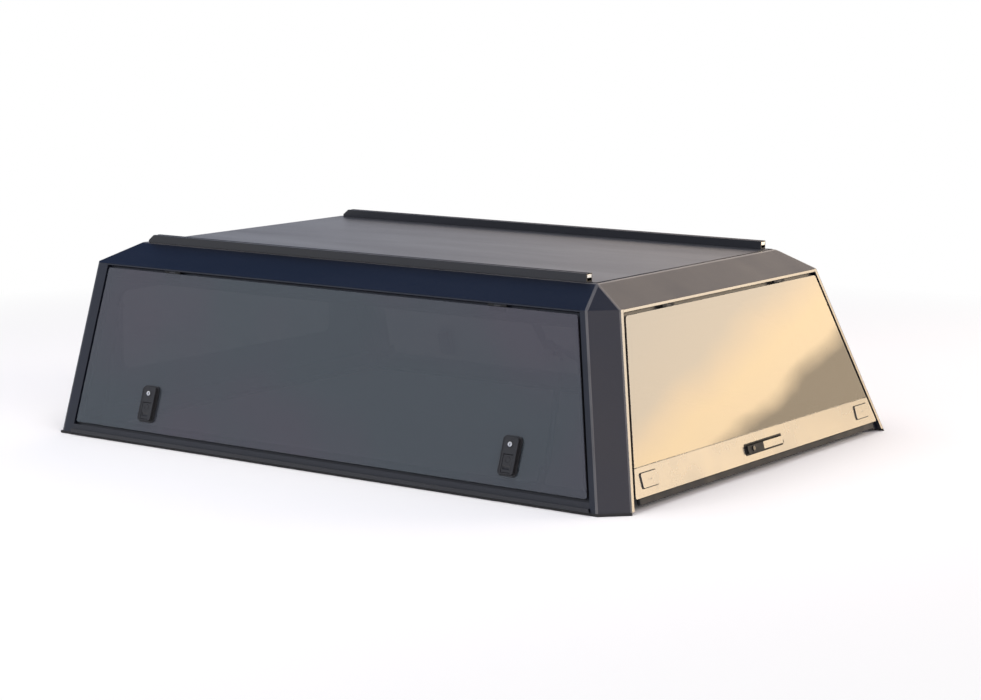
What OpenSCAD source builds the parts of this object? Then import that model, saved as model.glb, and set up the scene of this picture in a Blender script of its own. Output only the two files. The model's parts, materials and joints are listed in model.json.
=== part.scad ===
// Lift-up canopy for the load bed of a pickup truck: a folded sheet shell with a
// glazed door on each side and at the rear, standing on its base seal.
// +Y points to the cab, -Y to the rear door, +Z up. The origin lies in the middle
// of the base, level with the underside of the seal.

/* [Body] */
// Length of the base, from the front wall to the foot of the rear door
base_length = 2160; // [1500:10:2400]
// Width of the base
base_width = 1670; // [1400:10:1900]
// Height of the folds where the upright sides meet the roof slopes
fold_height = 540; // [440:5:700]
// Rise of the roof sheet above the folds
roof_rise = 60; // [30:5:140]
// Lean of the sides towards the middle, in degrees
side_lean = 19; // [8:0.5:22]
// Lean of the rear face towards the cab, in degrees
rear_lean = 16.8; // [8:0.2:22]
// Distance from the fold over a side door to the side fold of the roof
roof_side_setback = 129; // [60:1:240]
// Distance from the foot of the rear face to the rear fold of the roof
roof_rear_setback = 280; // [250:5:420]
// Distance from the front wall to the front fold of the roof
roof_front_setback = 87; // [40:1:200]
// Width that the cut rear corner takes off each face
corner_cut = 70; // [45:1:90]
// Thickness of the folded sheet
sheet = 2.5; // [1.5:0.5:4]

/* [Frame] */
// Width of the rear post on the side of the canopy
post_side_width = 88; // [80:1:120]
// Width of the rear post on the rear face
post_rear_width = 80; // [75:1:110]
// Width of the front post on the side of the canopy
front_post_width = 54; // [45:1:80]
// Depth of the front post across the front wall
front_post_depth = 60; // [45:1:90]
// Outer radius of the rounded front corner
front_corner_radius = 20; // [10:1:38]
// Depth of the frame behind the outer faces, at the seal land
frame_depth = 18; // [14:0.5:24]
// Width of the land that carries a door seal
land_width = 24; // [20:1:34]
// Height of a header box behind the land
header_height = 42; // [36:1:60]
// Depth of the header and sill boxes behind the outer face
box_depth = 40; // [32:1:60]
// Height of the outer lip over a side door
side_lip = 5; // [3:0.5:12]
// Height of the outer lip over the rear door
rear_lip = 9; // [5:0.5:16]
// Height of the sill top above the underside of the seal
sill_top = 34; // [28:1:50]
// Height of the lower step of the sill
sill_step_height = 20; // [16:1:24]
// How far the lower step stands out of the side
sill_step_out = 5; // [2:0.5:10]
// Width of the foot flange of the sill
foot_width = 75; // [65:1:110]

/* [Doors] */
// Clear gap round a side door
side_gap = 8; // [6:0.5:12]
// Clear gap round the rear door
rear_gap = 10; // [6:0.5:14]
// Thickness of the door glass
glass = 5; // [4:0.5:8]
// Height of the lower edge of a side door
side_door_bottom = 42; // [38:1:60]
// Height of the lower edge of the rear door
rear_door_bottom = 37; // [32:1:60]
// Height of the joint between the rear glass and its lower strip
strip_joint = 118; // [105:1:160]
// Corner radius of the side doors
side_door_radius = 6; // [2:1:30]
// Corner radius at the top of the rear door
rear_door_radius = 14; // [4:1:30]

/* [Seals] */
// Thickness of the base seal on the bed rails
base_seal = 8; // [5:0.5:14]
// Width of a door seal on its land
door_seal_width = 11; // [8:0.5:14]
// Clearance between a closed door and its seal
seal_clearance = 0.3; // [0.2:0.1:0.5]

/* [Front window] */
// Distance from the window to the front posts, level with its top
window_margin = 68; // [50:1:240]
// Distance from the folds down to the top of the window in the front wall
window_top_setback = 95; // [85:5:150]
// Height of the lower edge of the window
window_bottom = 155; // [120:5:180]
// Corner radius of the window
window_radius = 45; // [20:1:80]
// Width of the rubber round the window glass
window_rubber = 13; // [8:1:20]

/* [Roof] */
// Height of a roof rail
rail_height = 26; // [20:1:45]
// Width of a roof rail
rail_width = 30; // [26:1:50]
// Distance from the rear fold of the roof to the rear end of a rail
rail_rear_setback = 38; // [20:1:300]
// Distance from the front fold of the roof to the front end of a rail
rail_front_setback = 27; // [20:1:300]
// Depth of a roof bow under the sheet
bow_depth = 24; // [16:1:40]
// Width of a roof bow
bow_width = 46; // [34:1:70]

/* [Latches] */
// Width of the housing of a side latch
latch_width = 64; // [56:1:80]
// Height of the housing of a side latch
latch_height = 118; // [104:1:130]
// How far the housing of a side latch stands out
latch_depth = 14; // [13:0.5:20]
// Height of the middle of the side latches above the base
latch_middle = 126; // [120:1:160]
// Distance from the front wall to the front latch
front_latch_setback = 363; // [280:1:500]
// Distance from the foot of the rear face to the rear latch
rear_latch_setback = 392; // [350:1:580]
// Width of the rear handle pan
handle_width = 222; // [200:1:260]
// Height of the rear handle pan
handle_height = 36; // [32:1:44]
// Height of the middle of the rear handle above the base
handle_middle = 74; // [70:1:86]

/* [Struts] */
// Radius of a gas strut barrel
barrel_radius = 9; // [8:0.5:12]
// Radius of a gas strut rod
rod_radius = 4; // [3:0.5:5]
// Distance from the hinge line to the strut stud on a side door
side_strut_reach = 120; // [110:5:170]
// Distance from the hinge line to the strut stud on the rear door
rear_strut_reach = 240; // [200:5:260]
// Distance from the fold over a side door to a rear strut
rear_strut_inset = 109; // [107:1:200]
// Opening angle of the side doors
side_open = 75; // [40:1:80]
// Opening angle of the rear door
rear_open = 75; // [40:1:80]

/* [Mounting] */
// Diameter of the clamp holes in the foot flange
clamp_hole = 11; // [8:0.5:14]
// Distance of the clamp holes from the edge of the base
clamp_inset = 52; // [46:1:60]
// Distance from the ends of the base to the outer clamp holes
clamp_end_setback = 230; // [180:10:400]

/* [Hidden] */
half_length = base_length / 2;
half_width = base_width / 2;
roof_height = fold_height + roof_rise;
half_roof = half_width - fold_height * tan(side_lean) - roof_side_setback;
roof_rear_y = -half_length + roof_rear_setback;
roof_front_y = half_length - roof_front_setback;
far = 3000;
arc_steps = 6;
full_turn = 360;
foot_z = base_seal;
seal_seat = frame_depth - sheet;
pin_clearance = 0.05;
face_clearance = 0.4;

// Half width of the sides at a height, a distance in from the side face
function side_x(z, inset = 0) = half_width - z * tan(side_lean) - inset / cos(side_lean);
// Place of the rear face at a height, a distance in from the face
function rear_y(z, inset = 0) = -half_length + z * tan(rear_lean) + inset / cos(rear_lean);
// Place of the cut corner face across the 45 degree line, moved in along X
function corner_u(z, inset = 0) =
    (-side_x(z) + rear_y(z) + corner_cut + inset) / sqrt(2);

// The line through two points, moved to its left side by a distance
function moved_line(a, b, distance) =
    let (d = (b - a) / norm(b - a), n = [-d.y, d.x]) [n.x, n.y, n * a + distance];
function crossing(l, m) =
    let (det = l[0] * m[1] - l[1] * m[0])
    [(l[2] * m[1] - m[2] * l[1]) / det, (l[0] * m[2] - m[0] * l[2]) / det];
// A convex outline that runs anticlockwise, with each side moved in
function inset_outline(points, distance) =
    let (count = len(points))
    [for (i = [0:count - 1])
        crossing(
            moved_line(points[(i + count - 1) % count], points[i], distance),
            moved_line(points[i], points[(i + 1) % count], distance))];
// The arc that rounds the corner at b between a and c
function corner_arc(a, b, c, radius) =
    let (
        to_a = (a - b) / norm(a - b),
        to_c = (c - b) / norm(c - b),
        half_angle = acos(to_a * to_c) / 2,
        middle = b + (to_a + to_c) / norm(to_a + to_c) * radius / sin(half_angle),
        first = b + to_a * radius / tan(half_angle) - middle,
        last = b + to_c * radius / tan(half_angle) - middle,
        start = atan2(first.y, first.x),
        turned = atan2(last.y, last.x) - start + 2 * full_turn,
        sweep = (turned + full_turn / 2) % full_turn - full_turn / 2)
    [for (i = [0:arc_steps])
        middle + radius * [cos(start + sweep * i / arc_steps), sin(start + sweep * i / arc_steps)]];
function rounded_outline(points, radii) =
    let (count = len(points))
    [for (i = [0:count - 1])
        each corner_arc(points[(i + count - 1) % count], points[i],
            points[(i + 1) % count], radii[i])];
function rectangle(width, height, middle = [0, 0]) = [
    middle + [-width, -height] / 2,
    middle + [width, -height] / 2,
    middle + [width, height] / 2,
    middle + [-width, height] / 2];

// Outlines of the shell seen from the rear, from the side and across a corner
below = -60;
section_across = [
    [-side_x(below), below],
    [side_x(below), below],
    [side_x(fold_height), fold_height],
    [half_roof, roof_height],
    [-half_roof, roof_height],
    [-side_x(fold_height), fold_height]];
section_along = [
    [rear_y(below), below],
    [half_length, below],
    [half_length, fold_height],
    [roof_front_y, roof_height],
    [roof_rear_y, roof_height],
    [rear_y(fold_height), fold_height]];
section_corner = [
    [corner_u(below), below],
    [far, below],
    [far, roof_height],
    [(-half_roof + roof_rear_y) / sqrt(2), roof_height],
    [corner_u(fold_height), fold_height]];

// A profile drawn in X and Z, run along Y
module run_along(points) {
    rotate([90, 0, 0])
        linear_extrude(2 * far, center = true)
            polygon(points);
}

// A profile drawn in Y and Z, run along X
module run_across(points) {
    rotate([90, 0, 90])
        linear_extrude(2 * far, center = true)
            polygon(points);
}

// A profile drawn across the left rear corner
module run_corner(points) {
    rotate([0, 0, 45])
        run_along(points);
}

module level(low, high) {
    translate([-far / 2, -far / 2, low])
        cube([far, far, high - low]);
}

// Everything between two distances in from the left side face
module side_band(outer, inner) {
    run_along([
        [-side_x(below, outer), below],
        [-side_x(below, inner), below],
        [-side_x(roof_height, inner), roof_height],
        [-side_x(roof_height, outer), roof_height]]);
}

// Everything between two distances in from the rear face
module rear_band(outer, inner) {
    run_across([
        [rear_y(below, outer), below],
        [rear_y(below, inner), below],
        [rear_y(roof_height, inner), roof_height],
        [rear_y(roof_height, outer), roof_height]]);
}

// Everything between two distances in from the face of the cut corner
module corner_band(outer, inner) {
    run_corner([
        [corner_u(below, outer), below],
        [corner_u(below, inner), below],
        [corner_u(roof_height, inner), roof_height],
        [corner_u(roof_height, outer), roof_height]]);
}

// The whole outer form, with every face moved in
module shell_form(inset) {
    intersection() {
        run_along(inset_outline(section_across, inset));
        run_across(inset_outline(section_along, inset));
        run_corner(inset_outline(section_corner, inset));
        mirror([1, 0, 0])
            run_corner(inset_outline(section_corner, inset));
    }
}

// Local frames that lie in an outer face: X along it, Y up it and Z out of it
module on_rear() {
    translate([0, -half_length, 0])
        rotate([90 - rear_lean, 0, 0])
            children();
}

module on_left() {
    translate([-half_width, 0, 0])
        rotate([0, 0, -90])
            rotate([90 - side_lean, 0, 0])
                children();
}

module on_front() {
    translate([0, half_length, 0])
        rotate([0, 0, 180])
            rotate([90, 0, 0])
                children();
}

module on_right() {
    translate([half_width, 0, 0])
        rotate([0, 0, 90])
            rotate([90 - side_lean, 0, 0])
                children();
}

// A profile drawn up and out of a face, run along that face
module run_on_face(points) {
    run_across(points);
}

// A plate with its outline in a face, between two depths behind the face
module plate(points, outer, inner) {
    translate([0, 0, -inner])
        linear_extrude(inner - outer)
            polygon(points);
}

module ring_plate(points, hole_points, outer, inner) {
    translate([0, 0, -inner])
        linear_extrude(inner - outer)
            difference() {
                polygon(points);
                polygon(hole_points);
            }
}

// Sizes along the side face: distance up it at a height, and at a depth behind it
function up_side(z, depth = 0) = (z + depth * sin(side_lean)) / cos(side_lean);
side_lip_v = up_side(fold_height) - side_lip;
side_top_v = side_lip_v - side_gap;
side_bottom_v = up_side(side_door_bottom);
side_front_s = -half_length + front_post_width + side_gap;
function side_rear_s(v) = -rear_y(v * cos(side_lean), post_side_width + side_gap);
sill_v = up_side(sill_top);
land_top_v = side_top_v - header_height + side_gap;
land_bottom_v = side_bottom_v + land_width;

// Sizes along the rear face
function up_rear(z, depth = 0) = (z + depth * sin(rear_lean)) / cos(rear_lean);
rear_lip_v = up_rear(fold_height) - rear_lip;
rear_top_v = rear_lip_v - rear_gap;
rear_bottom_v = up_rear(rear_door_bottom);
strip_v = up_rear(strip_joint);
function rear_half(v, inset) = side_x(v * cos(rear_lean), inset);
rear_land_v = rear_top_v - header_height + rear_gap;

// Outline of a side door in its face, made smaller on every side
function side_door_outline(inset, radius) =
    let (
        top = side_top_v - inset,
        bottom = side_bottom_v + inset,
        front = side_front_s + inset)
    rounded_outline([
        [front, bottom],
        [side_rear_s(bottom) - inset, bottom],
        [side_rear_s(top) - inset, top],
        [front, top]], [radius, radius, radius, radius]);

// Outline of the rear door between two heights, made smaller at its edges
function rear_door_outline(bottom, top, inset, low_radius, high_radius) =
    let (edge = post_rear_width + rear_gap + inset)
    rounded_outline([
        [-rear_half(bottom, edge), bottom],
        [rear_half(bottom, edge), bottom],
        [rear_half(top, edge), top],
        [-rear_half(top, edge), top]],
        [low_radius, low_radius, high_radius, high_radius]);

// Space between the posts of the left side
module between_side_posts() {
    run_across([
        [rear_y(below, post_side_width), below],
        [half_length - front_post_width, below],
        [half_length - front_post_width, roof_height],
        [rear_y(roof_height, post_side_width), roof_height]]);
}

// Space between two inclined planes that both rear posts leave free
module between_rear_posts(inset) {
    run_along([
        [-side_x(below, inset), below],
        [side_x(below, inset), below],
        [side_x(roof_height, inset), roof_height],
        [-side_x(roof_height, inset), roof_height]]);
}

// Roof

module roof_panel() {
    color("DimGray")
        intersection() {
            difference() {
                roof_form(0);
                roof_form(sheet);
            }
            level(fold_height, roof_height);
        }
}

// The shell with the front corners rounded as the front posts are
module roof_form(inset) {
    intersection() {
        shell_form(inset);
        front_corner_form(inset);
        mirrored()
            front_corner_form(inset);
    }
}

module front_corner_form(inset) {
    radius = front_corner_radius - inset;
    on_left()
        rotate([90, 0, 0])
            linear_extrude(2 * far, center = true)
                translate([-half_length, 0]) {
                    translate([inset + radius, -inset - far])
                        square([far, far]);
                    translate([inset, -inset - radius - far])
                        square([far, far]);
                    translate([front_corner_radius, -front_corner_radius])
                        circle(radius, $fn = 64);
                }
}

// Rail profile: a box with a T slot along its top
rail_wall = 3;
rail_slot = 10;
rail_slot_depth = 12;
rail_slot_width = 20;
rail_nose = 22;
rail_rear_y = roof_rear_y + rail_rear_setback;
rail_front_y = roof_front_y - rail_front_setback;

module left_roof_rail() {
    color("black")
        translate([-half_roof, 0, roof_height])
            intersection() {
                difference() {
                    run_along([[0, 0], [rail_width, 0], [rail_width, rail_height], [0, rail_height]]);
                    translate([rail_width / 2, 0, rail_height]) {
                        run_along(rectangle(rail_slot, 2 * rail_wall + 1));
                        run_along(rectangle(rail_slot_width, rail_slot_depth - rail_wall,
                            [0, -(rail_slot_depth + rail_wall) / 2]));
                    }
                }
                run_across([
                    [rail_rear_y, 0],
                    [rail_front_y, 0],
                    [rail_front_y, rail_height / 3],
                    [rail_front_y - rail_nose, rail_height],
                    [rail_rear_y, rail_height]]);
            }
}

bow_count = 3;
bow_margin = 336;
bow_pitch = (roof_front_y - roof_rear_y - 2 * bow_margin) / (bow_count - 1);
bow_flange = 12;
bow_half = half_roof - 22;

module roof_bows() {
    color("DimGray")
        for (i = [0:bow_count - 1])
            translate([0, (i - 1) * bow_pitch + (roof_front_y + roof_rear_y) / 2,
                roof_height - sheet - bow_depth])
                rotate([90, 0, 90])
                    linear_extrude(2 * bow_half, center = true)
                        difference() {
                            union() {
                                translate([-bow_width / 2 + bow_flange, 0])
                                    square([bow_width - 2 * bow_flange, bow_depth]);
                                translate([-bow_width / 2, bow_depth - sheet])
                                    square([bow_width, sheet]);
                            }
                            translate([-bow_width / 2 + bow_flange + sheet, sheet])
                                square([bow_width - 2 * (bow_flange + sheet), bow_depth]);
                        }
}

// Posts

// The closed rear post with its lips, flanges and seal lands
module left_rear_post() {
    inner_wall = 30;
    color("DimGray")
        intersection() {
            level(foot_z, fold_height);
            union() {
                intersection() {
                    corner_band(0, sheet * 2);
                    side_band(0, far / 2);
                    rear_band(0, far / 2);
                }
                intersection() {
                    corner_band(0, far / 2);
                    side_band(0, sheet);
                    rear_band(0, post_side_width);
                }
                intersection() {
                    corner_band(0, far / 2);
                    rear_band(0, sheet);
                    side_band(0, post_rear_width);
                }
                intersection() {
                    side_band(0, frame_depth);
                    rear_band(post_side_width - sheet, post_side_width);
                }
                intersection() {
                    rear_band(0, frame_depth);
                    side_band(post_rear_width - sheet, post_rear_width);
                }
                intersection() {
                    corner_band(inner_wall, inner_wall + 2 * sheet);
                    side_band(0, post_rear_width);
                    rear_band(0, post_side_width);
                }
                intersection() {
                    side_band(seal_seat, frame_depth);
                    rear_band(post_side_width - sheet, post_side_width + land_width);
                    on_left()
                        translate([-far / 2, land_bottom_v, -far / 2])
                            cube([far, land_top_v - land_bottom_v, far]);
                }
                intersection() {
                    rear_band(seal_seat, frame_depth);
                    side_band(post_rear_width - sheet, post_rear_width + land_width);
                    on_rear()
                        translate([-far / 2, -far / 2, -far / 2])
                            cube([far, far / 2 + rear_land_v, far]);
                }
            }
        }
}

// The front post is a tube with a rounded outer corner and a land for the seal
module left_front_post() {
    color("DimGray")
        intersection() {
            level(foot_z, fold_height);
            on_left()
                rotate([90, 0, 0])
                    union() {
                        linear_extrude(2 * far, center = true)
                            translate([-half_length, 0])
                                difference() {
                                    front_post_section(0);
                                    front_post_section(sheet);
                                }
                        translate([-half_length + front_post_width - sheet, -frame_depth,
                            -land_top_v])
                            cube([land_width + sheet, sheet, land_top_v - land_bottom_v]);
                    }
        }
}

// Section of the front post with its outer corner at the origin, made smaller
module front_post_section(inset) {
    radius = front_corner_radius - inset;
    translate([inset, -front_post_depth + inset])
        square([front_post_width - 2 * inset, front_post_depth - 2 * inset - radius]);
    translate([inset + radius, -inset - radius])
        square([front_post_width - 2 * inset - radius, radius]);
    translate([front_corner_radius, -front_corner_radius])
        circle(radius, $fn = 64);
}

// Headers and sills

// Box over a side door: lip, seal land, bottom and inner wall
module left_header() {
    color("DimGray")
        intersection() {
            level(below, fold_height);
            between_side_posts();
            on_left()
                run_on_face([
                    [side_lip_v, 0],
                    [side_lip_v + far / 10, 0],
                    [side_lip_v + far / 10, -box_depth],
                    [land_top_v, -box_depth],
                    [land_top_v, -seal_seat],
                    [side_lip_v, -seal_seat]]);
            difference() {
                level(below, fold_height);
                on_left()
                    run_on_face([
                        [land_top_v + sheet, -frame_depth],
                        [up_side(fold_height - sheet, frame_depth), -frame_depth],
                        [up_side(fold_height - sheet, box_depth - sheet), -box_depth + sheet],
                        [land_top_v + sheet, -box_depth + sheet]]);
            }
        }
}

module rear_header() {
    color("DimGray")
        intersection() {
            level(below, fold_height);
            between_rear_posts(post_rear_width);
            difference() {
                on_rear()
                    run_on_face([
                        [rear_lip_v, 0],
                        [rear_lip_v + far / 10, 0],
                        [rear_lip_v + far / 10, -box_depth],
                        [rear_land_v, -box_depth],
                        [rear_land_v, -seal_seat],
                        [rear_lip_v, -seal_seat]]);
                on_rear()
                    run_on_face([
                        [rear_land_v + sheet, -frame_depth],
                        [up_rear(fold_height - sheet, frame_depth), -frame_depth],
                        [up_rear(fold_height - sheet, box_depth - sheet), -box_depth + sheet],
                        [rear_land_v + sheet, -box_depth + sheet]]);
            }
        }
}

clamp_x = half_width - clamp_inset;
clamp_reach = half_length - clamp_end_setback;
clamp_places = [for (i = [0:3]) (2 * i / 3 - 1) * clamp_reach];

// Stepped sill with a foot flange that the bed clamps hold
module left_sill() {
    color("DimGray")
        difference() {
            intersection() {
                level(foot_z, roof_height);
                between_side_posts();
                union() {
                    run_along([
                        [-side_x(foot_z, -sill_step_out), foot_z],
                        [-side_x(foot_z, foot_width), foot_z],
                        [-side_x(foot_z, foot_width), foot_z + sheet],
                        [-side_x(foot_z, 0), foot_z + sheet],
                        [-side_x(foot_z, -sill_step_out), foot_z + sheet]]);
                    run_along([
                        [-side_x(foot_z, -sill_step_out), foot_z],
                        [-side_x(foot_z, -sill_step_out) + sheet, foot_z],
                        [-side_x(foot_z, -sill_step_out) + sheet, sill_step_height - sheet],
                        [-side_x(foot_z, -sill_step_out), sill_step_height]]);
                    on_left()
                        difference() {
                            run_on_face([
                                [up_side(sill_step_height) - sheet, sill_step_out - sheet],
                                [up_side(sill_step_height), sill_step_out - sheet],
                                [up_side(sill_step_height), 0],
                                [sill_v, 0],
                                [sill_v, -seal_seat],
                                [land_bottom_v, -seal_seat],
                                [land_bottom_v, -box_depth],
                                [0, -box_depth],
                                [0, -box_depth + sheet],
                                [land_bottom_v - sheet, -box_depth + sheet],
                                [land_bottom_v - sheet, -frame_depth],
                                [sill_v - sheet, -frame_depth],
                                [sill_v - sheet, -sheet],
                                [up_side(sill_step_height) - sheet, -sheet]]);
                        }
                }
            }
            for (y = clamp_places)
                translate([-clamp_x, y, 0])
                    cylinder(d = clamp_hole, h = foot_z + 2 * sheet, $fn = 48);
        }
}

// Front wall

front_sill_top = 60;
window_height = fold_height - window_top_setback - window_bottom;
window_middle = window_bottom + window_height / 2;
window_width = 2 * (side_x(window_middle + window_height / 2, front_post_depth) - window_margin);
window = rounded_outline(rectangle(window_width, window_height, [0, window_middle]),
    [window_radius, window_radius, window_radius, window_radius]);
window_inner = rounded_outline(
    rectangle(window_width - 2 * window_rubber, window_height - 2 * window_rubber,
        [0, window_middle]),
    [for (i = [0:3]) window_radius - window_rubber]);

module between_front_posts() {
    between_rear_posts(front_post_depth);
}

module front_wall() {
    wall_height = fold_height - front_sill_top;
    color("DimGray")
        intersection() {
            between_front_posts();
            on_front()
                ring_plate(rectangle(base_width, wall_height,
                    [0, front_sill_top + wall_height / 2]), window, 0, sheet);
        }
}

module front_window_rubber() {
    color("black")
        on_front()
            ring_plate(window, window_inner, 0, 3 * sheet);
}

module front_window_glass() {
    color("SlateGray")
        on_front()
            plate(window_inner, sheet, sheet + glass - 1);
}

// Cross member at the foot of the front wall
module front_sill() {
    color("DimGray")
        intersection() {
            between_front_posts();
            on_front()
                run_on_face([
                    [foot_z, 0],
                    [front_sill_top, 0],
                    [front_sill_top, -box_depth],
                    [front_sill_top - sheet, -box_depth],
                    [front_sill_top - sheet, -sheet],
                    [foot_z + sheet, -sheet],
                    [foot_z + sheet, -box_depth],
                    [foot_z, -box_depth]]);
        }
}

// Box under the front fold of the roof
module front_header() {
    color("DimGray")
        intersection() {
            between_front_posts();
            on_front()
                run_on_face([
                    [fold_height - sheet, -sheet],
                    [fold_height - sheet, -box_depth],
                    [fold_height - header_height, -box_depth],
                    [fold_height - header_height, -sheet],
                    [fold_height - header_height + sheet, -sheet],
                    [fold_height - header_height + sheet, -box_depth + sheet],
                    [fold_height - 2 * sheet, -box_depth + sheet],
                    [fold_height - 2 * sheet, -sheet]]);
        }
}

// Seals

module left_base_seal() {
    ends = half_length - box_depth;
    color("black")
        difference() {
            intersection() {
                run_along([
                    [-side_x(0, 2), 0],
                    [-side_x(0, foot_width - 4), 0],
                    [-side_x(0, foot_width - 4), base_seal],
                    [-side_x(0, 2), base_seal]]);
                shell_form(1);
                run_across([[-far, 0], [ends, 0], [ends, base_seal], [-far, base_seal]]);
            }
            for (y = clamp_places)
                translate([-clamp_x, y, -1])
                    cylinder(d = clamp_hole + 4, h = base_seal + 2, $fn = 48);
        }
}

module front_base_seal() {
    color("black")
        translate([-side_x(0, 2), half_length - box_depth, 0])
            cube([2 * side_x(0, 2), box_depth - 2, base_seal]);
}

// A door seal starts this far in from the edge of its door
seal_start = 2;
// The top run of a seal lies below the hinge leaves
hinge_leaf = 16;

module left_door_seal() {
    color("black")
        on_left()
            side_ring(glass + seal_clearance, seal_seat);
}

// Ring of seal with its top run moved down below the hinge leaves
module side_ring(outer, inner) {
    top = side_top_v - hinge_leaf - seal_start;
    bottom = side_bottom_v + seal_start;
    front = side_front_s + seal_start;
    w = door_seal_width;
    ring_plate(
        rounded_outline([
            [front, bottom],
            [side_rear_s(bottom) - seal_start, bottom],
            [side_rear_s(top) - seal_start, top],
            [front, top]], [w, w, w, w]),
        rounded_outline([
            [front + w, bottom + w],
            [side_rear_s(bottom + w) - seal_start - w, bottom + w],
            [side_rear_s(top - w) - seal_start - w, top - w],
            [front + w, top - w]], [4, 4, 4, 4]),
        outer, inner);
}

// The rear seal has no bottom run, because the door closes on the tailgate
module rear_door_seal() {
    top = rear_top_v - hinge_leaf - seal_start;
    edge = post_rear_width + rear_gap + seal_start;
    w = door_seal_width;
    start = rear_bottom_v;
    color("black")
        on_rear()
            difference() {
                plate([
                    [-rear_half(start, edge), start],
                    [rear_half(start, edge), start],
                    [rear_half(top, edge), top],
                    [-rear_half(top, edge), top]],
                    glass + seal_clearance, seal_seat);
                plate([
                    [-rear_half(0, edge + w), 0],
                    [rear_half(0, edge + w), 0],
                    [rear_half(top - w, edge + w), top - w],
                    [-rear_half(top - w, edge + w), top - w]],
                    0, frame_depth);
            }
}

// Doors

module left_door_glass() {
    color("SlateGray")
        on_left()
            plate(side_door_outline(0, side_door_radius), 0, glass);
}

module rear_door_glass() {
    color("SlateGray")
        on_rear()
            plate(rear_door_outline(strip_v, rear_top_v, 0, 1, rear_door_radius), 0, glass);
}

strip_sheet = 3;
strip_return = 22;
strip_lap = 22;
strip_clearance = 6;
joint_gap = 1.5;
handle_v = up_rear(handle_middle);

// Folded strip under the rear glass, with a flange behind the glass. Its flanges
// end short of the seal lands.
module rear_door_strip() {
    strip_top = strip_v - joint_gap;
    flange_inset = land_width - rear_gap + strip_clearance;
    color("DimGray")
        on_rear()
            difference() {
                intersection() {
                    run_on_face([
                        [rear_bottom_v, 0],
                        [strip_top, 0],
                        [strip_top, -glass],
                        [strip_v + strip_lap, -glass],
                        [strip_v + strip_lap, -glass - strip_sheet],
                        [strip_top - strip_sheet, -glass - strip_sheet],
                        [strip_top - strip_sheet, -strip_sheet],
                        [rear_bottom_v + strip_sheet, -strip_sheet],
                        [rear_bottom_v + strip_sheet, -strip_return],
                        [rear_bottom_v, -strip_return]]);
                    union() {
                        plate(rear_door_outline(rear_bottom_v, rear_top_v, 0, 5, 5), -1, strip_sheet);
                        plate(rear_door_outline(rear_bottom_v, rear_top_v, flange_inset, 0, 0),
                            -1, strip_return + 1);
                    }
                }
                translate([0, 0, -strip_sheet - 1])
                    linear_extrude(strip_sheet + 2)
                        polygon(handle_hole);
            }
}

sweep_drop = 20;
sweep_depth = 12;
sweep_inset = 30;

// Rubber sweep that closes the rear door on the tailgate
module rear_door_sweep() {
    color("black")
        on_rear()
            plate([
                [-rear_half(rear_bottom_v, post_rear_width + sweep_inset), rear_bottom_v - sweep_drop],
                [rear_half(rear_bottom_v, post_rear_width + sweep_inset), rear_bottom_v - sweep_drop],
                [rear_half(rear_bottom_v, post_rear_width + sweep_inset), rear_bottom_v],
                [-rear_half(rear_bottom_v, post_rear_width + sweep_inset), rear_bottom_v]],
                strip_sheet, strip_sheet + sweep_depth);
}

// Hinges

knuckle_radius = 4;
hinge_pin_radius = 2;
hinge_length = 64;
knuckle_length = 24;
leaf_thickness = 3;
side_hinge_inset = 280;
side_hinges = [side_front_s + side_hinge_inset, side_rear_s(side_top_v) - side_hinge_inset];
rear_hinge_inset = 232;
rear_hinge_x = rear_half(rear_top_v, post_rear_width + rear_gap) - rear_hinge_inset;
rear_hinges = [-rear_hinge_x, rear_hinge_x];
pivot_depth = glass / 2;
side_pivot_v = side_lip_v - side_gap / 2;
rear_pivot_v = rear_lip_v - rear_gap / 2;

// Fixed half of a hinge, on its axis: two knuckles, a pin and a web up to the lip
module fixed_leaf(gap) {
    side = (hinge_length - knuckle_length) / 2;
    for (end = [-1, 1])
        translate([end * (hinge_length - side) / 2, 0, 0]) {
            rotate([0, 90, 0])
                cylinder(r = knuckle_radius, h = side, center = true, $fn = 32);
            translate([-side / 2, 0, -pivot_depth + leaf_thickness / 2])
                cube([side, gap / 2, leaf_thickness]);
        }
    rotate([0, 90, 0])
        cylinder(r = hinge_pin_radius, h = hinge_length, center = true, $fn = 32);
}

// Moving half of a hinge: one knuckle and a leaf behind the glass
module moving_leaf(gap) {
    length = knuckle_length - 2 * face_clearance;
    difference() {
        union() {
            rotate([0, 90, 0])
                cylinder(r = knuckle_radius, h = length, center = true, $fn = 32);
            translate([-length / 2, -gap / 2 - leaf_thickness, -pivot_depth - leaf_thickness])
                cube([length, gap / 2 + leaf_thickness, leaf_thickness]);
            translate([-hinge_length / 2, -gap / 2 - hinge_leaf + 2, -pivot_depth - leaf_thickness])
                cube([hinge_length, hinge_leaf - 3, leaf_thickness]);
        }
        rotate([0, 90, 0])
            cylinder(r = hinge_pin_radius + pin_clearance, h = hinge_length, center = true,
                $fn = 32);
    }
}

module left_fixed_hinges() {
    color("black")
        on_left()
            for (s = side_hinges)
                translate([s, side_pivot_v, -pivot_depth])
                    fixed_leaf(side_gap);
}

module left_door_hinges() {
    color("black")
        on_left()
            for (s = side_hinges)
                translate([s, side_pivot_v, -pivot_depth])
                    moving_leaf(side_gap);
}

module rear_fixed_hinges() {
    color("black")
        on_rear()
            for (x = rear_hinges)
                translate([x, rear_pivot_v, -pivot_depth])
                    fixed_leaf(rear_gap);
}

module rear_door_hinges() {
    color("black")
        on_rear()
            for (x = rear_hinges)
                translate([x, rear_pivot_v, -pivot_depth])
                    moving_leaf(rear_gap);
}

// Side latches

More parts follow.
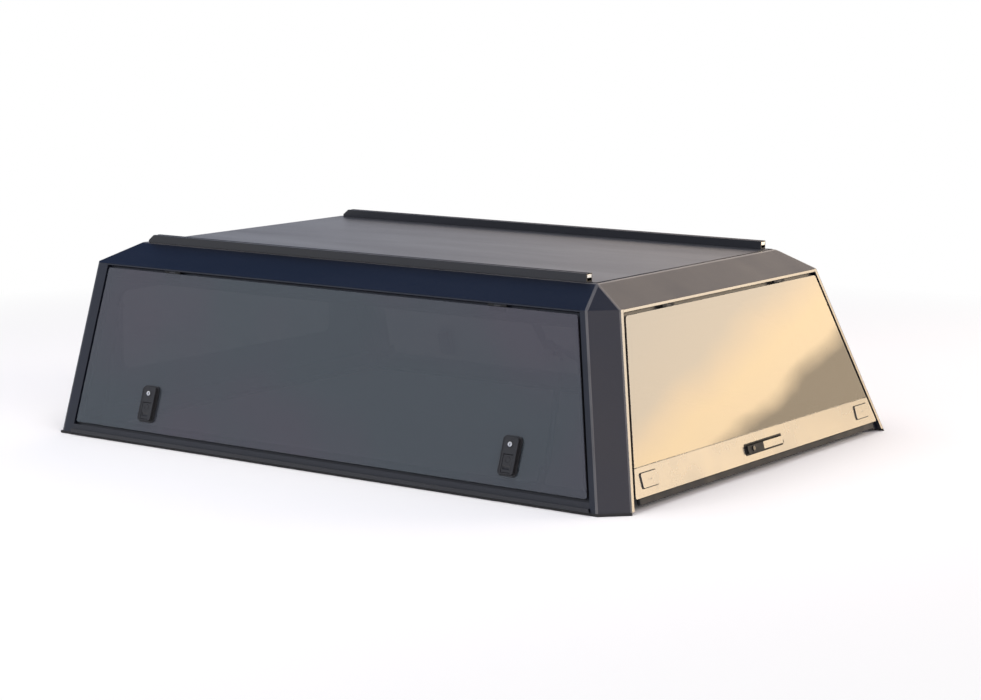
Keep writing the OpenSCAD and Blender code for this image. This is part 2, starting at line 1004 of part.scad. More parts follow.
latch_radius = 13;
latch_flange = 5;
latch_step = 5;
paddle_width = 32;
paddle_height = 52;
paddle_low = -49;
paddle_thickness = 6;
paddle_pin = 2;
paddle_pivot_v = paddle_low + paddle_height - 4;
paddle_pivot_n = latch_depth - paddle_thickness / 2 - 1;
paddle_gap = 1;
key_v = 32;
key_radius = 9;
front_latch_y = half_length - front_latch_setback;
rear_latch_y = -half_length + rear_latch_setback;
latch_places = [front_latch_y, rear_latch_y];
latch_inside_width = 44;
latch_inside_height = 84;
latch_inside_depth = 20;

module latch_frame(y) {
    translate([-y, up_side(latch_middle), 0])
        children();
}

// Housing outside the glass with a pocket for the paddle, and its back inside
module latch_housing() {
    pocket_width = paddle_width + 2 * paddle_gap;
    difference() {
        union() {
            plate(rounded_outline(rectangle(latch_width, latch_height),
                [for (i = [0:3]) latch_radius]), -latch_flange, 0);
            plate(rounded_outline(
                rectangle(latch_width - 2 * latch_step, latch_height - 2 * latch_step),
                [for (i = [0:3]) latch_radius - latch_step]), -latch_depth, 0);
            translate([0, key_v, 0])
                cylinder(r = key_radius, h = latch_depth + 1.5, $fn = 48);
        }
        translate([-pocket_width / 2, paddle_low - paddle_gap, 3])
            cube([pocket_width, paddle_height + 2 * paddle_gap, latch_depth]);
        translate([-latch_width / 4, paddle_low - paddle_gap - 2, 3])
            cube([latch_width / 2, 20, latch_depth]);
        translate([0, paddle_pivot_v, paddle_pivot_n])
            rotate([0, 90, 0])
                cylinder(r = paddle_pin + pin_clearance, h = pocket_width + 10, center = true,
                    $fn = 32);
    }
}

module latch_back() {
    plate(rounded_outline(rectangle(latch_inside_width, latch_inside_height, [0, 4]),
        [for (i = [0:3]) 6]), glass, glass + latch_inside_depth);
}

module left_latch_housings() {
    color("black")
        on_left()
            for (y = latch_places)
                latch_frame(y)
                    latch_housing();
}

module left_latch_backs() {
    color("black")
        on_left()
            for (y = latch_places)
                latch_frame(y)
                    latch_back();
}

// Paddle that lifts out of the pocket at its lower end
module latch_paddle() {
    difference() {
        translate([-paddle_width / 2, paddle_low, latch_depth - paddle_thickness - 1])
            cube([paddle_width, paddle_height - 1, paddle_thickness]);
        translate([0, paddle_low + 14, latch_depth + 8])
            rotate([0, 90, 0])
                cylinder(r = 11, h = paddle_width - 8, center = true, $fn = 48);
    }
    translate([0, paddle_pivot_v, paddle_pivot_n])
        rotate([0, 90, 0])
            cylinder(r = paddle_pin, h = paddle_width + 8, center = true, $fn = 32);
}

module left_front_paddle() {
    color("black")
        on_left()
            latch_frame(front_latch_y)
                latch_paddle();
}

module left_rear_paddle() {
    color("black")
        on_left()
            latch_frame(rear_latch_y)
                latch_paddle();
}

// Rear handle

handle_radius = 5;
handle_rim = 3;
handle_x = 6;
pan_wall = 2;
pan_depth = 16;
handle_proud = 9;
lock_width = 92;
lever_height = 22;
lever_thickness = 7;
lever_pin = 2;
lever_cheek = 5;
lever_side_gap = 1;
handle_hole = rounded_outline(
    rectangle(handle_width - 2 * handle_rim, handle_height - 2 * handle_rim, [handle_x, handle_v]),
    [for (i = [0:3]) handle_radius - 1]);
handle_rim_outline = rounded_outline(rectangle(handle_width, handle_height, [handle_x, handle_v]),
    [for (i = [0:3]) handle_radius]);
handle_pocket = rounded_outline(
    rectangle(handle_width - 2 * (handle_rim + pan_wall),
        handle_height - 2 * (handle_rim + pan_wall), [handle_x, handle_v]),
    [for (i = [0:3]) handle_radius - 2]);
lock_left = handle_x - handle_width / 2 + handle_rim + 1;
lever_left = lock_left + lock_width + lever_side_gap;
cheek_left = handle_x + handle_width / 2 - handle_rim - pan_wall - lever_cheek + 1;
lever_length = cheek_left - lever_side_gap - lever_left;
lever_v = handle_v - handle_height / 2 + handle_rim + pan_wall + 1;
lever_pivot = [lever_v + 4, handle_proud - lever_thickness / 2];

// Pan through the strip with the block of the lock at its left end
module rear_handle_pan() {
    color("black")
        on_rear()
            difference() {
                union() {
                    ring_plate(handle_rim_outline, handle_pocket, -1.5, 0);
                    ring_plate(handle_hole, handle_pocket, 0, pan_depth);
                    plate(handle_hole, pan_depth - pan_wall, pan_depth);
                    translate([lock_left, lever_v - 0.5, -pan_depth + pan_wall / 2])
                        cube([lock_width, lever_height + 1, pan_depth - pan_wall / 2 + handle_proud]);
                    translate([cheek_left, lever_v - 0.5, -pan_depth + pan_wall / 2])
                        cube([lever_cheek, 9, pan_depth - pan_wall / 2 + handle_proud - 1]);
                    translate([lock_left + lock_width / 3, lever_v + lever_height / 2, 0])
                        cylinder(r = 8, h = handle_proud + 1.5, $fn = 48);
                }
                translate([lever_left - 5, lever_pivot.x, lever_pivot.y])
                    rotate([0, 90, 0])
                        cylinder(r = lever_pin + pin_clearance, h = lever_length + 9, $fn = 32);
            }
}

// Lever hinged along its lower edge, pulled out at its top over the finger recess
module rear_handle_lever() {
    color("Silver")
        on_rear() {
            translate([lever_left, lever_v, handle_proud - lever_thickness])
                cube([lever_length, lever_height, lever_thickness]);
            translate([lever_left - 4, lever_pivot.x, lever_pivot.y])
                rotate([0, 90, 0])
                    cylinder(r = lever_pin, h = lever_length + 7, $fn = 32);
        }
}

cover_width = 80;
cover_height = 42;
cover_thickness = 4;
cover_middle = 80;
cover_inset = 72;
cover_v = up_rear(cover_middle);
cover_x = rear_half(cover_v, post_rear_width + rear_gap) - cover_inset;
cover_slot = 16;

// Two raised covers at the ends of the strip
module rear_strip_covers() {
    color("DimGray")
        on_rear()
            for (side = [-1, 1])
                translate([side * cover_x, cover_v, 0])
                    difference() {
                        plate(rounded_outline(rectangle(cover_width, cover_height),
                            [for (i = [0:3]) 5]), -cover_thickness, 0);
                        translate([-cover_slot / 2, -cover_slot / 10, cover_thickness - 1])
                            cube([cover_slot, cover_slot / 5, 2]);
                    }
}

// Gas struts

// All strut sizes lie in the plane of motion of their door: up the face and out of it
side_stud_out = 24;
rear_stud_out = 14;
stud_radius = 6;
strut_ball = 8;
eye_pin = 4;
eye_half = 6;
neck_start = 5;
neck_end = 16;
shoulder_end = 20;
bore_start = 26;
barrel_stop = 50;
rod_guide = 30;

// A point fixed to a door, turned about its hinge by an angle
function opened(point, pivot, angle) =
    let (d = point - pivot)
    pivot + [d.x * cos(angle) + d.y * sin(angle), -d.x * sin(angle) + d.y * cos(angle)];

side_pivot = [side_pivot_v, -pivot_depth];
side_door_stud = [side_pivot_v - side_strut_reach, -glass - side_stud_out];
side_root_stud = [land_bottom_v + 40, -box_depth - 22];
rear_pivot = [rear_pivot_v, -pivot_depth];
rear_strut_x = side_x(fold_height) - rear_strut_inset;
rear_door_stud = [rear_pivot_v - rear_strut_reach, -glass - rear_stud_out];
rear_root_stud = [rear_pivot_v - 30, -290];
// Y and Z of a point given up and out of the rear face
function rear_point(p) = [
    -half_length + p.x * sin(rear_lean) - p.y * cos(rear_lean),
    p.x * cos(rear_lean) + p.y * sin(rear_lean)];
front_strut_inset = 60;
rear_end_inset = 45;
side_strut_s = [side_front_s + front_strut_inset, side_rear_s(side_top_v) - rear_end_inset];

module strut_frame(from, to) {
    translate([0, from.x, from.y])
        rotate([atan2(to.y - from.y, to.x - from.x), 0, 0])
            children();
}

// Barrel from its eye on the fixed stud, along Y
module strut_barrel(from, to) {
    length = norm(to - from) - barrel_stop;
    neck = rod_radius + 1;
    bore = rod_radius + pin_clearance;
    strut_frame(from, to)
        difference() {
            union() {
                rotate([0, 90, 0])
                    cylinder(r = strut_ball, h = 2 * eye_half, center = true, $fn = 40);
                rotate([-90, 0, 0])
                    rotate_extrude($fn = 48)
                        polygon([
                            [0, neck_start],
                            [neck, neck_start],
                            [neck, neck_end],
                            [barrel_radius, shoulder_end],
                            [barrel_radius, length - 2],
                            [barrel_radius - 2, length],
                            [bore, length],
                            [bore, bore_start],
                            [0, bore_start]]);
            }
            rotate([0, 90, 0])
                cylinder(r = eye_pin + pin_clearance, h = 4 * eye_half, center = true, $fn = 40);
        }
}

// How much longer a strut is with its door open
function stroke(from, to, pivot, angle) =
    norm(opened(to, pivot, angle) - from) - norm(to - from);

// Rod to the socket at the stud of the door, still in its barrel with the door open
module strut_rod(from, to, pivot, angle) {
    length = norm(to - from);
    start = length - barrel_stop - rod_guide - stroke(from, to, pivot, angle);
    strut_frame(from, to) {
        translate([0, start, 0])
            rotate([-90, 0, 0])
                cylinder(r = rod_radius, h = length - start, $fn = 40);
        translate([0, length, 0])
            rotate([0, 90, 0])
                cylinder(r = strut_ball, h = 2 * eye_half, center = true, $fn = 40);
    }
}

// Stud beside a strut eye, with a foot that reaches back to the door
module door_stud(point, side) {
    translate([side * (6 + face_clearance), point.x, point.y]) {
        rotate([0, side * 90, 0])
            cylinder(r = stud_radius, h = 8, $fn = 40);
        translate([side * 4 - 4, -stud_radius, 0])
            cube([8, 2 * stud_radius, -point.y - glass]);
    }
}

module side_barrel(place) {
    color("black")
        translate([place, 0, 0])
            strut_barrel(side_root_stud, side_door_stud);
}

module side_rod(place) {
    color("Silver")
        translate([place, 0, 0])
            strut_rod(side_root_stud, side_door_stud, side_pivot, side_open);
}

module left_door_studs() {
    color("black")
        on_left() {
            translate([side_strut_s[0], 0, 0])
                door_stud(side_door_stud, 1);
            translate([side_strut_s[1], 0, 0])
                door_stud(side_door_stud, -1);
        }
}

// Pin through the eye of a strut, carried on the side that is given
module eye_stud(point, side) {
    translate([-side * eye_half, point.x, point.y])
        rotate([0, side * 90, 0])
            cylinder(r = eye_pin, h = 2 * eye_half + face_clearance + 2, $fn = 40);
}

// Angle bracket on the sill box that carries the lower end of a side strut
module sill_bracket(side) {
    thickness = 4;
    back = 74;
    front = 20;
    height = 52;
    foot = 28;
    translate([side * (eye_half + face_clearance), land_bottom_v, -back]) {
        translate([side > 0 ? 0 : -thickness, 0, 0])
            cube([thickness, height, back - box_depth]);
        translate([side > 0 ? 0 : -foot, 0, 0])
            cube([foot, thickness, back - front]);
    }
    eye_stud(side_root_stud, side);
}

module left_strut_brackets() {
    color("black")
        on_left() {
            translate([side_strut_s[0], 0, 0])
                sill_bracket(1);
            translate([side_strut_s[1], 0, 0])
                sill_bracket(-1);
        }
}

module rear_barrel(place) {
    color("black")
        on_rear()
            translate([place, 0, 0])
                strut_barrel(rear_root_stud, rear_door_stud);
}

module rear_rod(place) {
    color("Silver")
        on_rear()
            translate([place, 0, 0])
                strut_rod(rear_root_stud, rear_door_stud, rear_pivot, rear_open);
}

module rear_door_studs() {
    color("black")
        on_rear()
            for (side = [-1, 1])
                translate([side * rear_strut_x, 0, 0])
                    door_stud(rear_door_stud, -side);
}

// Gusset from the side header that carries the front end of a rear strut
module left_strut_hanger() {
    stud = rear_point(rear_root_stud);
    face_x = -rear_strut_x - eye_half - face_clearance;
    thickness = 4;
    color("black") {
        translate([0, stud.x + 18, 0])
            rotate([90, 0, 0])
                linear_extrude(thickness)
                    polygon([
                        [-side_x(fold_height - 12, box_depth), fold_height - 12],
                        [-side_x(fold_height - 48, box_depth), fold_height - 48],
                        [face_x - thickness, stud.y - 14],
                        [face_x, stud.y - 14],
                        [face_x, stud.y + 26]]);
        translate([face_x - thickness, stud.x - 12, stud.y - 14])
            cube([thickness, 30, 28]);
        translate([face_x - 1, stud.x, stud.y])
            rotate([0, 90, 0])
                cylinder(r = eye_pin, h = 1 + 2 * eye_half + face_clearance, $fn = 40);
    }
}

module mirrored() {
    mirror([1, 0, 0])
        children();
}

// What the left door carries besides its glass
module left_door_fittings() {
    left_door_hinges();
    left_latch_housings();
    left_latch_backs();
    left_door_studs();
}

module rear_door_fittings() {
    rear_door_hinges();
    rear_door_studs();
}

roof_panel();
left_roof_rail();
mirrored() left_roof_rail();  // right_roof_rail
roof_bows();
left_rear_post();
mirrored() left_rear_post();  // right_rear_post
left_front_post();
mirrored() left_front_post();  // right_front_post
left_header();
mirrored() left_header();  // right_header
rear_header();
front_header();
left_sill();
mirrored() left_sill();  // right_sill
front_sill();
front_wall();
front_window_rubber();
front_window_glass();
left_base_seal();
mirrored() left_base_seal();  // right_base_seal
front_base_seal();
left_door_seal();
mirrored() left_door_seal();  // right_door_seal
rear_door_seal();
left_fixed_hinges();
mirrored() left_fixed_hinges();  // right_fixed_hinges
rear_fixed_hinges();
left_strut_brackets();
mirrored() left_strut_brackets();  // right_strut_brackets
left_strut_hanger();
mirrored() left_strut_hanger();  // right_strut_hanger
left_door_glass();
left_door_fittings();
left_front_paddle();
left_rear_paddle();
mirrored() left_door_glass();  // right_door_glass
mirrored() left_door_fittings();  // right_door_fittings
mirrored() left_front_paddle();  // right_front_paddle
mirrored() left_rear_paddle();  // right_rear_paddle
rear_door_glass();
rear_door_strip();
rear_door_sweep();
rear_door_fittings();
rear_handle_pan();
rear_handle_lever();
rear_strip_covers();
on_left() side_barrel(side_strut_s[0]);  // left_front_barrel
on_left() side_rod(side_strut_s[0]);  // left_front_rod
on_left() side_barrel(side_strut_s[1]);  // left_rear_barrel
on_left() side_rod(side_strut_s[1]);  // left_rear_rod
on_right() side_barrel(-side_strut_s[0]);  // right_front_barrel
on_right() side_rod(-side_strut_s[0]);  // right_front_rod
on_right() side_barrel(-side_strut_s[1]);  // right_rear_barrel
on_right() side_rod(-side_strut_s[1]);  // right_rear_rod
rear_barrel(-rear_strut_x);  // rear_left_barrel
rear_rod(-rear_strut_x);  // rear_left_rod
rear_barrel(rear_strut_x);  // rear_right_barrel
rear_rod(rear_strut_x);  // rear_right_rod
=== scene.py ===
"""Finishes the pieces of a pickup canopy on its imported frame, and sets light and camera."""

import json
import math

import bmesh
import bpy
from bpy.props import FloatProperty, FloatVectorProperty, PointerProperty
from mathutils import Matrix, Vector


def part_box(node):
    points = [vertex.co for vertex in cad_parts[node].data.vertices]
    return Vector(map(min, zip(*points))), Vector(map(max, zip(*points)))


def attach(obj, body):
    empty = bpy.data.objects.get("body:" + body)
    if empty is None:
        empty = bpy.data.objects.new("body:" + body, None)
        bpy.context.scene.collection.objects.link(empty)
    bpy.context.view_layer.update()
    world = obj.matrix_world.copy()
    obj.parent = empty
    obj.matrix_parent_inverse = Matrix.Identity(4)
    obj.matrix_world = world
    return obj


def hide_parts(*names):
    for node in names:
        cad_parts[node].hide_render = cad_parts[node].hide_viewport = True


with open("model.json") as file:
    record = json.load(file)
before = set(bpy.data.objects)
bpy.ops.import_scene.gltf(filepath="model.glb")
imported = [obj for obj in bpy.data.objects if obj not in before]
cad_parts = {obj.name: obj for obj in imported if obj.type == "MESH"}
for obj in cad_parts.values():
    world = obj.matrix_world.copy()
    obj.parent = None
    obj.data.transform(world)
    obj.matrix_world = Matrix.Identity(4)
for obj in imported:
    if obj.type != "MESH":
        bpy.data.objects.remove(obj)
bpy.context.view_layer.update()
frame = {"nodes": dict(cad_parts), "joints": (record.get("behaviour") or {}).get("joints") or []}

bl_info = {
    "name": "Pickup canopy finishes",
    "version": (1, 0, 0),
    "blender": (4, 5, 0),
    "location": "3D View > Sidebar > Canopy",
    "description": "Finishes the pieces of a pickup canopy and sets its light and camera",
    "category": "Object",
}


# Sizes and colours that a user may change


def length(label, text, value):
    return FloatProperty(name=label, description=text, default=value, min=0, unit="LENGTH", precision=4)


def tint(label, text, value):
    return FloatVectorProperty(name=label, description=text, default=value, min=0, max=1,
                               size=3, subtype="COLOR")


class CanopyFaces(bpy.types.PropertyGroup):
    """The leaning planes that the pieces lie in."""

    half_width: length("Half width", "From the middle to the foot of a side", 0.835)
    half_length: length("Half length", "From the middle to the foot of the rear face", 1.08)
    seam_height: length("Seam height", "Height of the lower edge of the roof sheet", 0.54)
    side_lean: FloatProperty(name="Side lean", description="Lean of the sides", subtype="ANGLE",
                             default=math.radians(19))
    rear_lean: FloatProperty(name="Rear lean", description="Lean of the rear face", subtype="ANGLE",
                             default=math.radians(16.8))


class CanopyEdges(bpy.types.PropertyGroup):
    """Radii of folds and edges."""

    fold: length("Fold", "Width of a fold of the shell", 0.005)
    metal: length("Metal edge", "Rounding of a metal edge", 0.0009)
    moulded: length("Moulded edge", "Rounding of a plastic edge", 0.0016)
    rubber: length("Rubber edge", "Rounding of a rubber profile", 0.003)
    glass: length("Glass edge", "Ground edge of the glass", 0.0012)


class CanopyColours(bpy.types.PropertyGroup):
    """Colours of the finishes."""

    shell: tint("Shell", "Powder coat of the shell", (0.006, 0.008, 0.0145))
    # The dust tone lightens the flat of the roof: partly dust, partly a painted sheen of the sky.
    dust_and_sheen: tint("Dust", "Fine dust on the flat of the roof", (0.12, 0.12, 0.122))
    # The worn fold tone is a painted highlight along the rounded folds of the shell.
    fold: tint("Worn fold", "Powder coat along the folds", (0.08, 0.079, 0.082))
    rail: tint("Rail", "Roof rails", (0.012, 0.013, 0.017))
    strip: tint("Strip", "Paint of the rear strip", (0.06, 0.055, 0.05))
    side_glass: tint("Side glass", "Tint of the side glass", (0.033, 0.044, 0.052))
    side_film: tint("Side film", "Second tint of the side glass", (0.043, 0.040, 0.053))
    rear_glass: tint("Rear glass", "Tint of the rear glass", (0.03, 0.028, 0.025))
    rubber: tint("Rubber", "Seals and sweep", (0.012, 0.012, 0.012))
    fittings: tint("Fittings", "Latches, hinges and brackets", (0.014, 0.014, 0.015))
    bright: tint("Bright metal", "Keys and strut rods", (0.72, 0.71, 0.69))


class CanopyLatches(bpy.types.PropertyGroup):
    """Places and sizes on the side latches."""

    front_y: FloatProperty(name="Front latch", description="Place along the canopy", default=0.717,
                           unit="LENGTH")
    rear_y: FloatProperty(name="Rear latch", description="Place along the canopy", default=-0.688,
                          unit="LENGTH")
    middle_z: length("Middle height", "Height of the middle of a latch", 0.126)
    depth: length("Depth", "How far a latch stands out", 0.014)
    key_up: length("Key", "Key above the middle of the latch", 0.032)
    key_radius: length("Key radius", "Radius of the key cylinder", 0.0075)
    key_height: length("Key height", "Height of the key cylinder", 0.0022)
    ring_down: length("Ring", "Ring below the middle of the latch", 0.012)
    ring_radius: length("Ring radius", "Radius of the ring on the paddle", 0.0085)
    ring_wire: length("Ring wire", "Thickness of the ring on the paddle", 0.0012)
    bezel_width: length("Bezel width", "Width of the bezel round the latch", 0.0535)
    bezel_height: length("Bezel height", "Height of the bezel round the latch", 0.1075)
    bezel_corner: length("Bezel corner", "Rounding of the corners of the bezel", 0.008)
    bezel_rim: length("Bezel rim", "Width of the rim of the bezel", 0.0032)
    bezel_depth: length("Bezel depth", "Depth of the bezel", 0.0016)


class CanopyStrip(bpy.types.PropertyGroup):
    """Places and sizes on the rear strip."""

    cover_x: length("Cover place", "From the middle to a cover", 0.64)
    cover_z: length("Cover height", "Height of the middle of the covers", 0.08)
    # The gasket round each cover is a dark rubber frame that stands in for the shade along the edges of the
    # raised cover: painted shade.
    shade_frame_width: length("Gasket width", "Width of the gasket round a cover", 0.0845)
    shade_frame_height: length("Gasket height", "Height of the gasket round a cover", 0.0465)
    shade_frame_corner: length("Gasket corner", "Rounding of the corners of the gasket", 0.004)
    shade_frame_rim: length("Gasket rim", "Width of the rim of the gasket", 0.0024)
    shade_frame_depth: length("Gasket depth", "Depth of the gasket", 0.0012)
    key_left: length("Key place", "From the middle to the key, towards the left", 0.07)
    key_z: length("Key height above the base", "Height of the middle of the key", 0.074)
    key_out: length("Key stand", "How far the foot of the key stands out", 0.0102)
    key_radius: length("Key radius", "Radius of the key cylinder", 0.007)
    key_height: length("Key height", "Height of the key cylinder", 0.0026)


class CanopyStruts(bpy.types.PropertyGroup):
    """Sizes on the gas struts and their brackets."""

    ball: length("Ball", "Radius of the socket round the ball stud", 0.008)
    wire: length("Clip wire", "Thickness of the spring clip on a socket", 0.0008)
    sleeve: length("Sleeve", "Radius of the sleeve behind a socket", 0.0058)
    sleeve_hole: length("Sleeve hole", "Radius of the hole in a sleeve", 0.0038)
    sleeve_length: length("Sleeve length", "Length of the sleeve behind a socket", 0.0085)
    band: length("Band", "Radius of the band rolled into the barrel", 0.0094)
    band_hole: length("Band hole", "Inner radius of the band", 0.0086)
    band_length: length("Band length", "Length of the band along the barrel", 0.005)
    band_back: length("Band place", "From the mouth of the barrel back to the band", 0.012)
    wiper: length("Wiper", "Radius of the wiper round the rod", 0.0068)
    wiper_hole: length("Wiper hole", "Radius of the hole for the rod", 0.0045)
    wiper_length: length("Wiper length", "Length of the wiper along the rod", 0.0024)
    screw: length("Screw", "Radius of a screw head in a bracket's foot", 0.0055)
    screw_in: length("Screw place", "From the end of a bracket's foot to its screws", 0.014)
    foot_top: length("Foot height", "Top of a bracket's foot, up the side", 0.0725)


class CanopyLight(bpy.types.PropertyGroup):
    """Light, floor and camera."""

    key: FloatProperty(name="Low sun", description="Power of the warm light", default=150, min=0)
    top: FloatProperty(name="Top light", description="Power of the light from above", default=150, min=0)
    fill: FloatProperty(name="Fill light", description="Power of the light on the left", default=80, min=0)
    card: FloatProperty(name="Card", description="Strength of the card in the rear glass", default=6.2,
                        min=0)
    floor: tint("Floor", "Colour of the floor", (0.95, 0.95, 0.94))
    camera: FloatVectorProperty(name="Camera", description="Place of the camera",
                                default=(-6.366, -4.642, 1.525), subtype="TRANSLATION")
    aim: FloatVectorProperty(name="Aim", description="Point that the camera looks at",
                             default=(0.035, -0.02, 0.262), subtype="TRANSLATION")
    lens: FloatProperty(name="Lens", description="Focal length in millimetres", default=90, min=1)


# Frames that lie in the leaning faces: X along the face, Y up it, Z out of it


def left_face(along, up, out=0.0):
    faces = bpy.context.scene.canopy_faces
    s, c = math.sin(faces.side_lean), math.cos(faces.side_lean)
    axes = Matrix(((0, s, -c), (-1, 0, 0), (0, c, s))).to_4x4()
    return Matrix.Translation((-faces.half_width, 0, 0)) @ axes @ Matrix.Translation((along, up, out))


def right_face(along, up, out=0.0):
    faces = bpy.context.scene.canopy_faces
    s, c = math.sin(faces.side_lean), math.cos(faces.side_lean)
    axes = Matrix(((0, -s, c), (1, 0, 0), (0, c, s))).to_4x4()
    return Matrix.Translation((faces.half_width, 0, 0)) @ axes @ Matrix.Translation((along, up, out))


def rear_face(along, up, out=0.0):
    faces = bpy.context.scene.canopy_faces
    s, c = math.sin(faces.rear_lean), math.cos(faces.rear_lean)
    axes = Matrix(((1, 0, 0), (0, s, -c), (0, c, s))).to_4x4()
    return Matrix.Translation((0, -faces.half_length, 0)) @ axes @ Matrix.Translation((along, up, out))


# Modelling by hand


def only(piece):
    """Leaves one piece selected and active."""
    bpy.ops.object.select_all(action="DESELECT")
    piece.select_set(True)
    bpy.context.view_layer.objects.active = piece


def apply_modifier(piece, kind, **settings):
    modifier = piece.modifiers.new(kind.lower(), kind)
    for name, value in settings.items():
        setattr(modifier, name, value)
    bpy.ops.object.modifier_apply(modifier=modifier.name)


def rounded(piece, width, segments=2, angle=40):
    """Rounds the hard edges of a piece."""
    apply_modifier(piece, "BEVEL", width=width, segments=segments, limit_method="ANGLE",
                   angle_limit=math.radians(angle), use_clamp_overlap=True)


def joined_copy(node, name, seam=None):
    """A piece with the mesh of a CAD node, its loose triangles joined to whole faces.

    The ring of faces at the height of the seam stays in triangles, as no face can have a hole.
    """

    def joins(face):
        return seam is None or face.normal.z > -0.9 or abs(face.calc_center_median().z - seam) > 0.001

    piece = bpy.data.objects.new(name, frame["nodes"][node].data.copy())
    bpy.context.scene.collection.objects.link(piece)
    piece.data.materials.clear()
    only(piece)
    bpy.ops.mesh.customdata_custom_splitnormals_clear()
    bpy.ops.object.mode_set(mode="EDIT")
    bpy.ops.mesh.select_all(action="SELECT")
    bpy.ops.mesh.remove_doubles(threshold=0.00002)
    bpy.ops.mesh.select_mode(type="FACE")
    choose_faces(piece, joins)
    bpy.ops.mesh.dissolve_limited(angle_limit=math.radians(0.3))
    bpy.ops.object.mode_set(mode="OBJECT")
    return piece


def weigh_folds(piece, low, high, shortest):
    """Marks the long edges whose faces meet at a flat angle, for the bevel that rounds folds."""
    work = bmesh.new()
    work.from_mesh(piece.data)
    weight = work.edges.layers.float.new("bevel_weight_edge")
    for edge in work.edges:
        if len(edge.link_faces) != 2:
            continue
        turn = math.degrees(edge.calc_face_angle(0))
        if low < turn < high and edge.calc_length() > shortest:
            edge[weight] = 1.0
    work.to_mesh(piece.data)
    work.free()


def finish_piece(piece, body, finishes, nodes=(), smooth=32):
    for name in finishes:
        if name not in [m.name for m in piece.data.materials if m]:
            piece.data.materials.append(bpy.data.materials[name])
    only(piece)
    bpy.ops.object.shade_smooth_by_angle(angle=math.radians(smooth))
    apply_modifier(piece, "WEIGHTED_NORMAL", mode="FACE_AREA", weight=100, keep_sharp=True)
    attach(piece, body)
    if nodes:
        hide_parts(*nodes)
    return piece


def edged(node, name, body, finish, width, segments=2, angle=30, smooth=40):
    """A CAD node's shape with its hard edges rounded."""
    piece = joined_copy(node, name)
    piece.data.materials.append(bpy.data.materials[finish])
    rounded(piece, width, segments, angle)
    return finish_piece(piece, body, (), (node,), smooth)


def paint_rear_sheen(piece):
    """Gives the outer rear faces of a shell piece the lighter, glossier paint of the rear strip, as a painted
    sheen of the low sun on them.
    """
    piece.data.materials.append(bpy.data.materials["strip_coat"])
    last = len(piece.data.materials) - 1
    foot = -bpy.context.scene.canopy_faces.half_length
    lean = math.tan(bpy.context.scene.canopy_faces.rear_lean)
    skin = 0.004
    for face in piece.data.polygons:
        outer = face.center.y < foot + face.center.z * lean + skin
        if face.normal.y < -0.9 and outer:
            face.material_index = last


def folded(node, name, radius, finish, fold_highlight_finish, low=12, high=60):
    """A folded sheet with its folds rounded, and a lighter finish along them that is a painted highlight on
    each fold.
    """
    faces = bpy.context.scene.canopy_faces
    piece = joined_copy(node, name, faces.seam_height)
    piece.data.materials.append(bpy.data.materials[finish])
    piece.data.materials.append(bpy.data.materials[fold_highlight_finish])
    weigh_folds(piece, low, high, shortest=0.03)
    apply_modifier(piece, "BEVEL", width=radius, segments=3, limit_method="WEIGHT",
                   use_clamp_overlap=False, material=1)
    return finish_piece(piece, "canopy", (), (node,), smooth=30)


def placed(piece, matrix):
    """Moves a new piece to its place and leaves the place in its mesh."""
    piece.matrix_world = matrix @ piece.matrix_world
    only(piece)
    bpy.ops.object.transform_apply(location=True, rotation=True, scale=True)
    return piece


def choose_faces(piece, test):
    """Selects the faces that pass a test, in edit mode."""
    work = bmesh.from_edit_mesh(piece.data)
    work.faces.ensure_lookup_table()
    for face in work.faces:
        face.select_set(bool(test(face)))
    work.select_flush_mode()
    bmesh.update_edit_mesh(piece.data)


def new_disc(name, radius, height, sides=40):
    """A standing cylinder on the face plane, left in edit mode."""
    bpy.ops.object.select_all(action="DESELECT")
    bpy.ops.mesh.primitive_cylinder_add(vertices=sides, radius=radius, depth=height,
                                        location=(0, 0, height / 2))
    piece = bpy.context.object
    piece.name = name
    bpy.ops.object.transform_apply(location=True, rotation=True, scale=True)
    bpy.ops.object.mode_set(mode="EDIT")
    bpy.ops.mesh.select_mode(type="FACE")
    return piece


def fitted(master, name, matrix, body, finish, smooth=32):
    """A copy of a master with its own mesh, in its place and finish."""
    piece = bpy.data.objects.new(name, master.data.copy())
    bpy.context.scene.collection.objects.link(piece)
    placed(piece, matrix)
    return finish_piece(piece, body, (finish,), smooth=smooth)


def put_away(*masters):
    """Takes masters out of the scene once their copies are in place."""
    for master in masters:
        bpy.data.objects.remove(master)


def new_key(radius, height):
    """A key cylinder with a recessed face, and its keyhole."""
    piece = new_disc("key_master", radius, height)
    choose_faces(piece, lambda f: f.normal.z > 0.9)
    bpy.ops.mesh.inset(thickness=radius * 0.2)
    bpy.ops.transform.translate(value=(0, 0, -radius * 0.1))
    bpy.ops.mesh.inset(thickness=radius * 0.06)
    bpy.ops.transform.translate(value=(0, 0, radius * 0.05))
    bpy.ops.object.mode_set(mode="OBJECT")
    rounded(piece, radius * 0.06)
    hole = new_bar("keyhole_master", width=radius * 0.28, height=radius, depth=radius * 0.1,
                   rounding=radius * 0.1)
    placed(hole, Matrix.Translation((0, 0, height - radius * 0.09)))
    return piece, hole


def new_bar(name, width, height, depth, rounding):
    """A bar on the face plane with its outer corners rounded."""
    bpy.ops.object.select_all(action="DESELECT")
    bpy.ops.mesh.primitive_cube_add(size=1, location=(0, 0, depth / 2))
    piece = bpy.context.object
    piece.name = name
    piece.scale = (width, height, depth)
    bpy.ops.object.transform_apply(location=True, rotation=True, scale=True)
    bpy.ops.object.mode_set(mode="EDIT")
    bpy.ops.mesh.select_mode(type="EDGE")
    work = bmesh.from_edit_mesh(piece.data)
    for edge in work.edges:
        ends = [v.co for v in edge.verts]
        edge.select_set(abs(ends[0].z - ends[1].z) > depth / 2)
    bmesh.update_edit_mesh(piece.data)
    bpy.ops.mesh.bevel(offset=min(rounding, width * 0.49, height * 0.49), segments=5, affect="EDGES")
    bpy.ops.object.mode_set(mode="OBJECT")
    return piece


